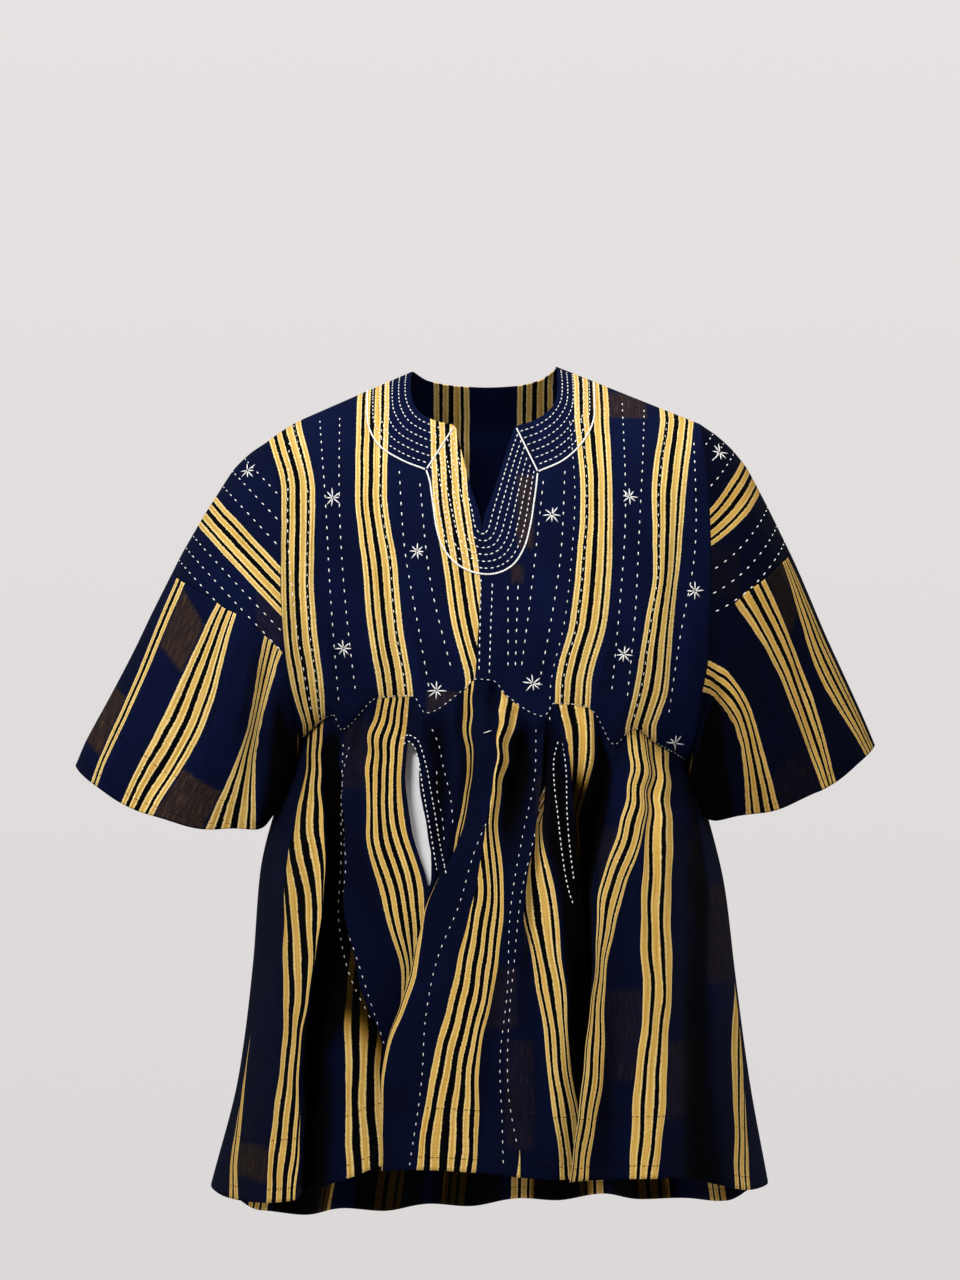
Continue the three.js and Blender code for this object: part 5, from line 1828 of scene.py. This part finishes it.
# %% Chart as ramps
# The stops of a colour ramp over one group: red is gold, green is black, blue is a line's edge.
def line_stops(lines):
    stops = [(0.0, (0, 0, 0, 1))]
    for k, (low, high) in enumerate(lines):
        stops.append((max(low, 0.01) / STRETCH, (1, 0, 1, 1)))
        stops.append(((low + LINE_EDGE) / STRETCH, (1, 0, 0, 1)))
        stops.append(((high - LINE_EDGE) / STRETCH, (1, 0, 1, 1)))
        after = (0, 1, 0, 1) if k < len(lines) - 1 else (0, 0, 0, 1)
        stops.append((high / STRETCH, after))
    return stops


# How much gold, black and pale line edge the chart has at a place on its ruler, in mm.
def read_chart(cloth, ruler):
    gold, black, edge = 0.0, 0.0, 0.0
    for start, lines in GOLD_LINES.items():
        ramp = cloth.node("ValToRGB", {"stops": line_stops(lines)}, {0: (ruler - start) / STRETCH})
        kinds = cloth.node("SeparateXYZ", None, {0: Value(cloth, ramp.outputs[0])})
        gold = Value(cloth, kinds.outputs[0]) + gold
        black = Value(cloth, kinds.outputs[1]) + black
        edge = Value(cloth, kinds.outputs[2]) + edge
    return gold, black, edge


print("stops for a narrow strip", len(line_stops(GOLD_LINES[NARROW])))


# %% Hem thread
# Dark running stitches that hold the hem, in two rows above its edge.
def hem_thread(cloth, u, v):
    dash = cloth.maths("SINE", u * (2 * math.pi / HEM_DASH)) > -0.35
    rows = 0.0
    for row in HEM_ROWS:
        rows = (cloth.maths("ABSOLUTE", v - row) < HEM_THREAD) + rows
    return dash * rows


# %% Yarns
# Navy and black warp, with russet where the weft shows in a brown block.
def dark_yarn(cloth, uv, warp, black):
    patch = cloth.noise(cloth.scaled(uv, 14, 9), 1.0)
    light = cloth.maths("ADD", warp * 0.5, (patch - 0.5) * 1.6 + 0.1, clamp=True)
    navy = cloth.colour_mix(NAVY, NAVY_LIGHT, light)
    crossing = cloth.value("Attribute", {"attribute_name": "weft"}, output=2)
    streak = cloth.noise(cloth.scaled(uv, 700, 45), 1.0, 3.0)
    sparkle = cloth.maths("MULTIPLY", (streak - 0.5) * 4.0, (warp - 0.2) * 2.0, clamp=True)
    russet = cloth.colour_mix(BROWN, BROWN_LIGHT, sparkle)
    dark = cloth.colour_mix(navy, BLACK, black)
    return cloth.colour_mix(dark, russet, crossing * (1 - black * 0.5))


# Gold warp, paler at the edges of a line, and mixed towards deep gold by the painted shade in a
# hollow.
def gold_yarn(cloth, uv, warp, edge, hollow):
    weft = cloth.noise(cloth.scaled(uv, 30, 900), 1.0)
    tone = cloth.maths("ADD", warp * 0.8, weft * 0.5 - 0.15, clamp=True)
    pale = cloth.maths("ADD", edge * 0.7, (tone - 0.5) * 1.6, clamp=True)
    yellow = cloth.colour_mix(GOLD, GOLD_LIGHT, pale)
    deep = cloth.maths("MULTIPLY", (0.5 - warp) * 5.0, 1.0 - edge, clamp=True)
    yellow = cloth.colour_mix(yellow, GOLD_DEEP, deep)
    return cloth.colour_mix(yellow, GOLD_DEEP, cloth.maths("MULTIPLY", hollow, 1.1, clamp=True))


# %% Cloth finish
# uv is in metres of cloth, so a noise scaled by 1100 across and 16 along has threads about 1 mm wide
# that keep their tone for some 60 mm.
def striped_cloth():
    cloth = Finish("striped_cloth")
    uv = cloth.value("UVMap", {"uv_map": "cloth"})
    parts = cloth.node("SeparateXYZ", None, {0: uv})
    u, v = Value(cloth, parts.outputs[0]), Value(cloth, parts.outputs[1])
    jagged = cloth.noise(cloth.scaled(uv, 500, 900), 1.0, 1.0)
    slow = cloth.noise(cloth.scaled(uv, 40, 30), 1.0, 1.0)
    wander = (jagged - 0.5) * 0.0022 + (slow - 0.5) * 0.0016
    gold, black, edge = read_chart(cloth, (u + wander) / MM)
    warp = cloth.noise(cloth.scaled(uv, 1100, 16), 1.0)
    # The hollow attribute is painted shade: it dims navy more than gold in folds, under the arms and
    # on the sleeve away from the lamp.
    hollow = cloth.value("Attribute", {"attribute_name": "hollow"}, output=2)
    in_light = 1.0 - hollow * HOLLOW_SHADE
    gold_light = 1.0 - cloth.maths("POWER", hollow, GOLD_HOLDS) * HOLLOW_SHADE
    dark = cloth.dimmed(dark_yarn(cloth, uv, warp, black), in_light * in_light)
    yellow = cloth.dimmed(gold_yarn(cloth, uv, warp, edge, hollow), gold_light)
    ribs = cloth.maths("SINE", v * (2 * math.pi / RIB_PITCH))
    shade = (1.0 + ribs * 0.03) * (1.0 - hem_thread(cloth, u, v) * 0.8)
    colour = cloth.dimmed(cloth.colour_mix(dark, yellow, gold), shade)
    across = cloth.maths("SINE", u * (2 * math.pi / THREAD_PITCH))
    along = cloth.maths("SINE", v * (2 * math.pi / THREAD_PITCH))
    weave = across * along + warp * 0.8 + ribs * 0.3
    bump = cloth.value("Bump", None, {"Strength": 0.35, "Distance": 0.0006, "Height": weave})
    return cloth.surface({"Base Color": colour, "Roughness": 0.82 + (warp - 0.5) * 0.2,
                          "Specular IOR Level": 0.03, "Sheen Weight": 0.004,
                          "Sheen Roughness": 0.5, "Normal": bump})


striped = striped_cloth()
for piece in STRIPED:
    piece.data.materials.append(striped)
print("striped cloth", len(striped.node_tree.nodes), "nodes on", len(STRIPED), "pieces")

# %% [markdown]
# ## Thread, lining and paper
# These three are plain, so one function makes them all. They differ in colour, in how fine their
# fibres are and in how rough they look.

# %% Thread and lining
# A plain colour that turns a little deeper in places, with a bump of the given scale and height.
def plain_finish(name, colour, deep, scale, bump_height, roughness):
    finish = Finish(name)
    place = Value(finish, finish.node("TexCoord").outputs["Object"])
    twist = finish.noise(place, scale)
    slow = finish.noise(place, 40)
    close = finish.maths("MULTIPLY", (twist - 0.45) * 1.6, 1, clamp=True)
    wide = finish.maths("MULTIPLY", (slow - 0.5) * 1.2, 1, clamp=True)
    mixed = finish.colour_mix(finish.colour_mix(colour, deep, close), deep, wide)
    bump = finish.value("Bump", None, {"Strength": 0.4, "Distance": bump_height, "Height": twist})
    return finish.surface({"Base Color": mixed, "Roughness": roughness + (twist - 0.5) * 0.2,
                           "Specular IOR Level": 0.3, "Sheen Weight": 0.1, "Normal": bump})


thread = plain_finish("white_thread", THREAD, THREAD_DEEP, 1600, 0.0002, 0.6)
pale = plain_finish("pocket_lining", LINING, LINING_DEEP, 900, 0.0003, 0.85)
for piece in SEWN:
    piece.data.materials.append(thread)
lining.data.materials.append(pale)
print("thread on", len(SEWN), "pieces")

# %% [markdown]
# ## The floor
# The floor isn't part of the smock, only a plain disc of paper below it.

# %% Floor
FLOOR_LEVEL, FLOOR_RADIUS = -1.45, 3.2
bm = bmesh.new()
bmesh.ops.create_circle(bm, cap_ends=True, segments=96, radius=FLOOR_RADIUS)
bmesh.ops.translate(bm, verts=bm.verts, vec=(0, 0, FLOOR_LEVEL))
floor_mesh = bpy.data.meshes.new("floor")
bm.to_mesh(floor_mesh)
bm.free()
floor = bpy.data.objects.new("floor", floor_mesh)
bpy.context.scene.collection.objects.link(floor)
paper = plain_finish("floor_paper", PAPER, PAPER_DEEP, 30, 0.0001, 0.9)
floor.data.materials.append(paper)

# %% [markdown]
# ## Cut sizes
# Each sheet says what size it was cut to before it was sewn, as its area in square metres.


# %% Cut sizes
def cut_area(points):
    a, b = points[1:, :-1] - points[:-1, :-1], points[:-1, 1:] - points[:-1, :-1]
    return float(np.linalg.norm(np.cross(a, b), axis=2).sum()) * MM * MM


for name, points in SHEETS.items():
    print(name, "cloth area", round(cut_area(points), 4), "m2")
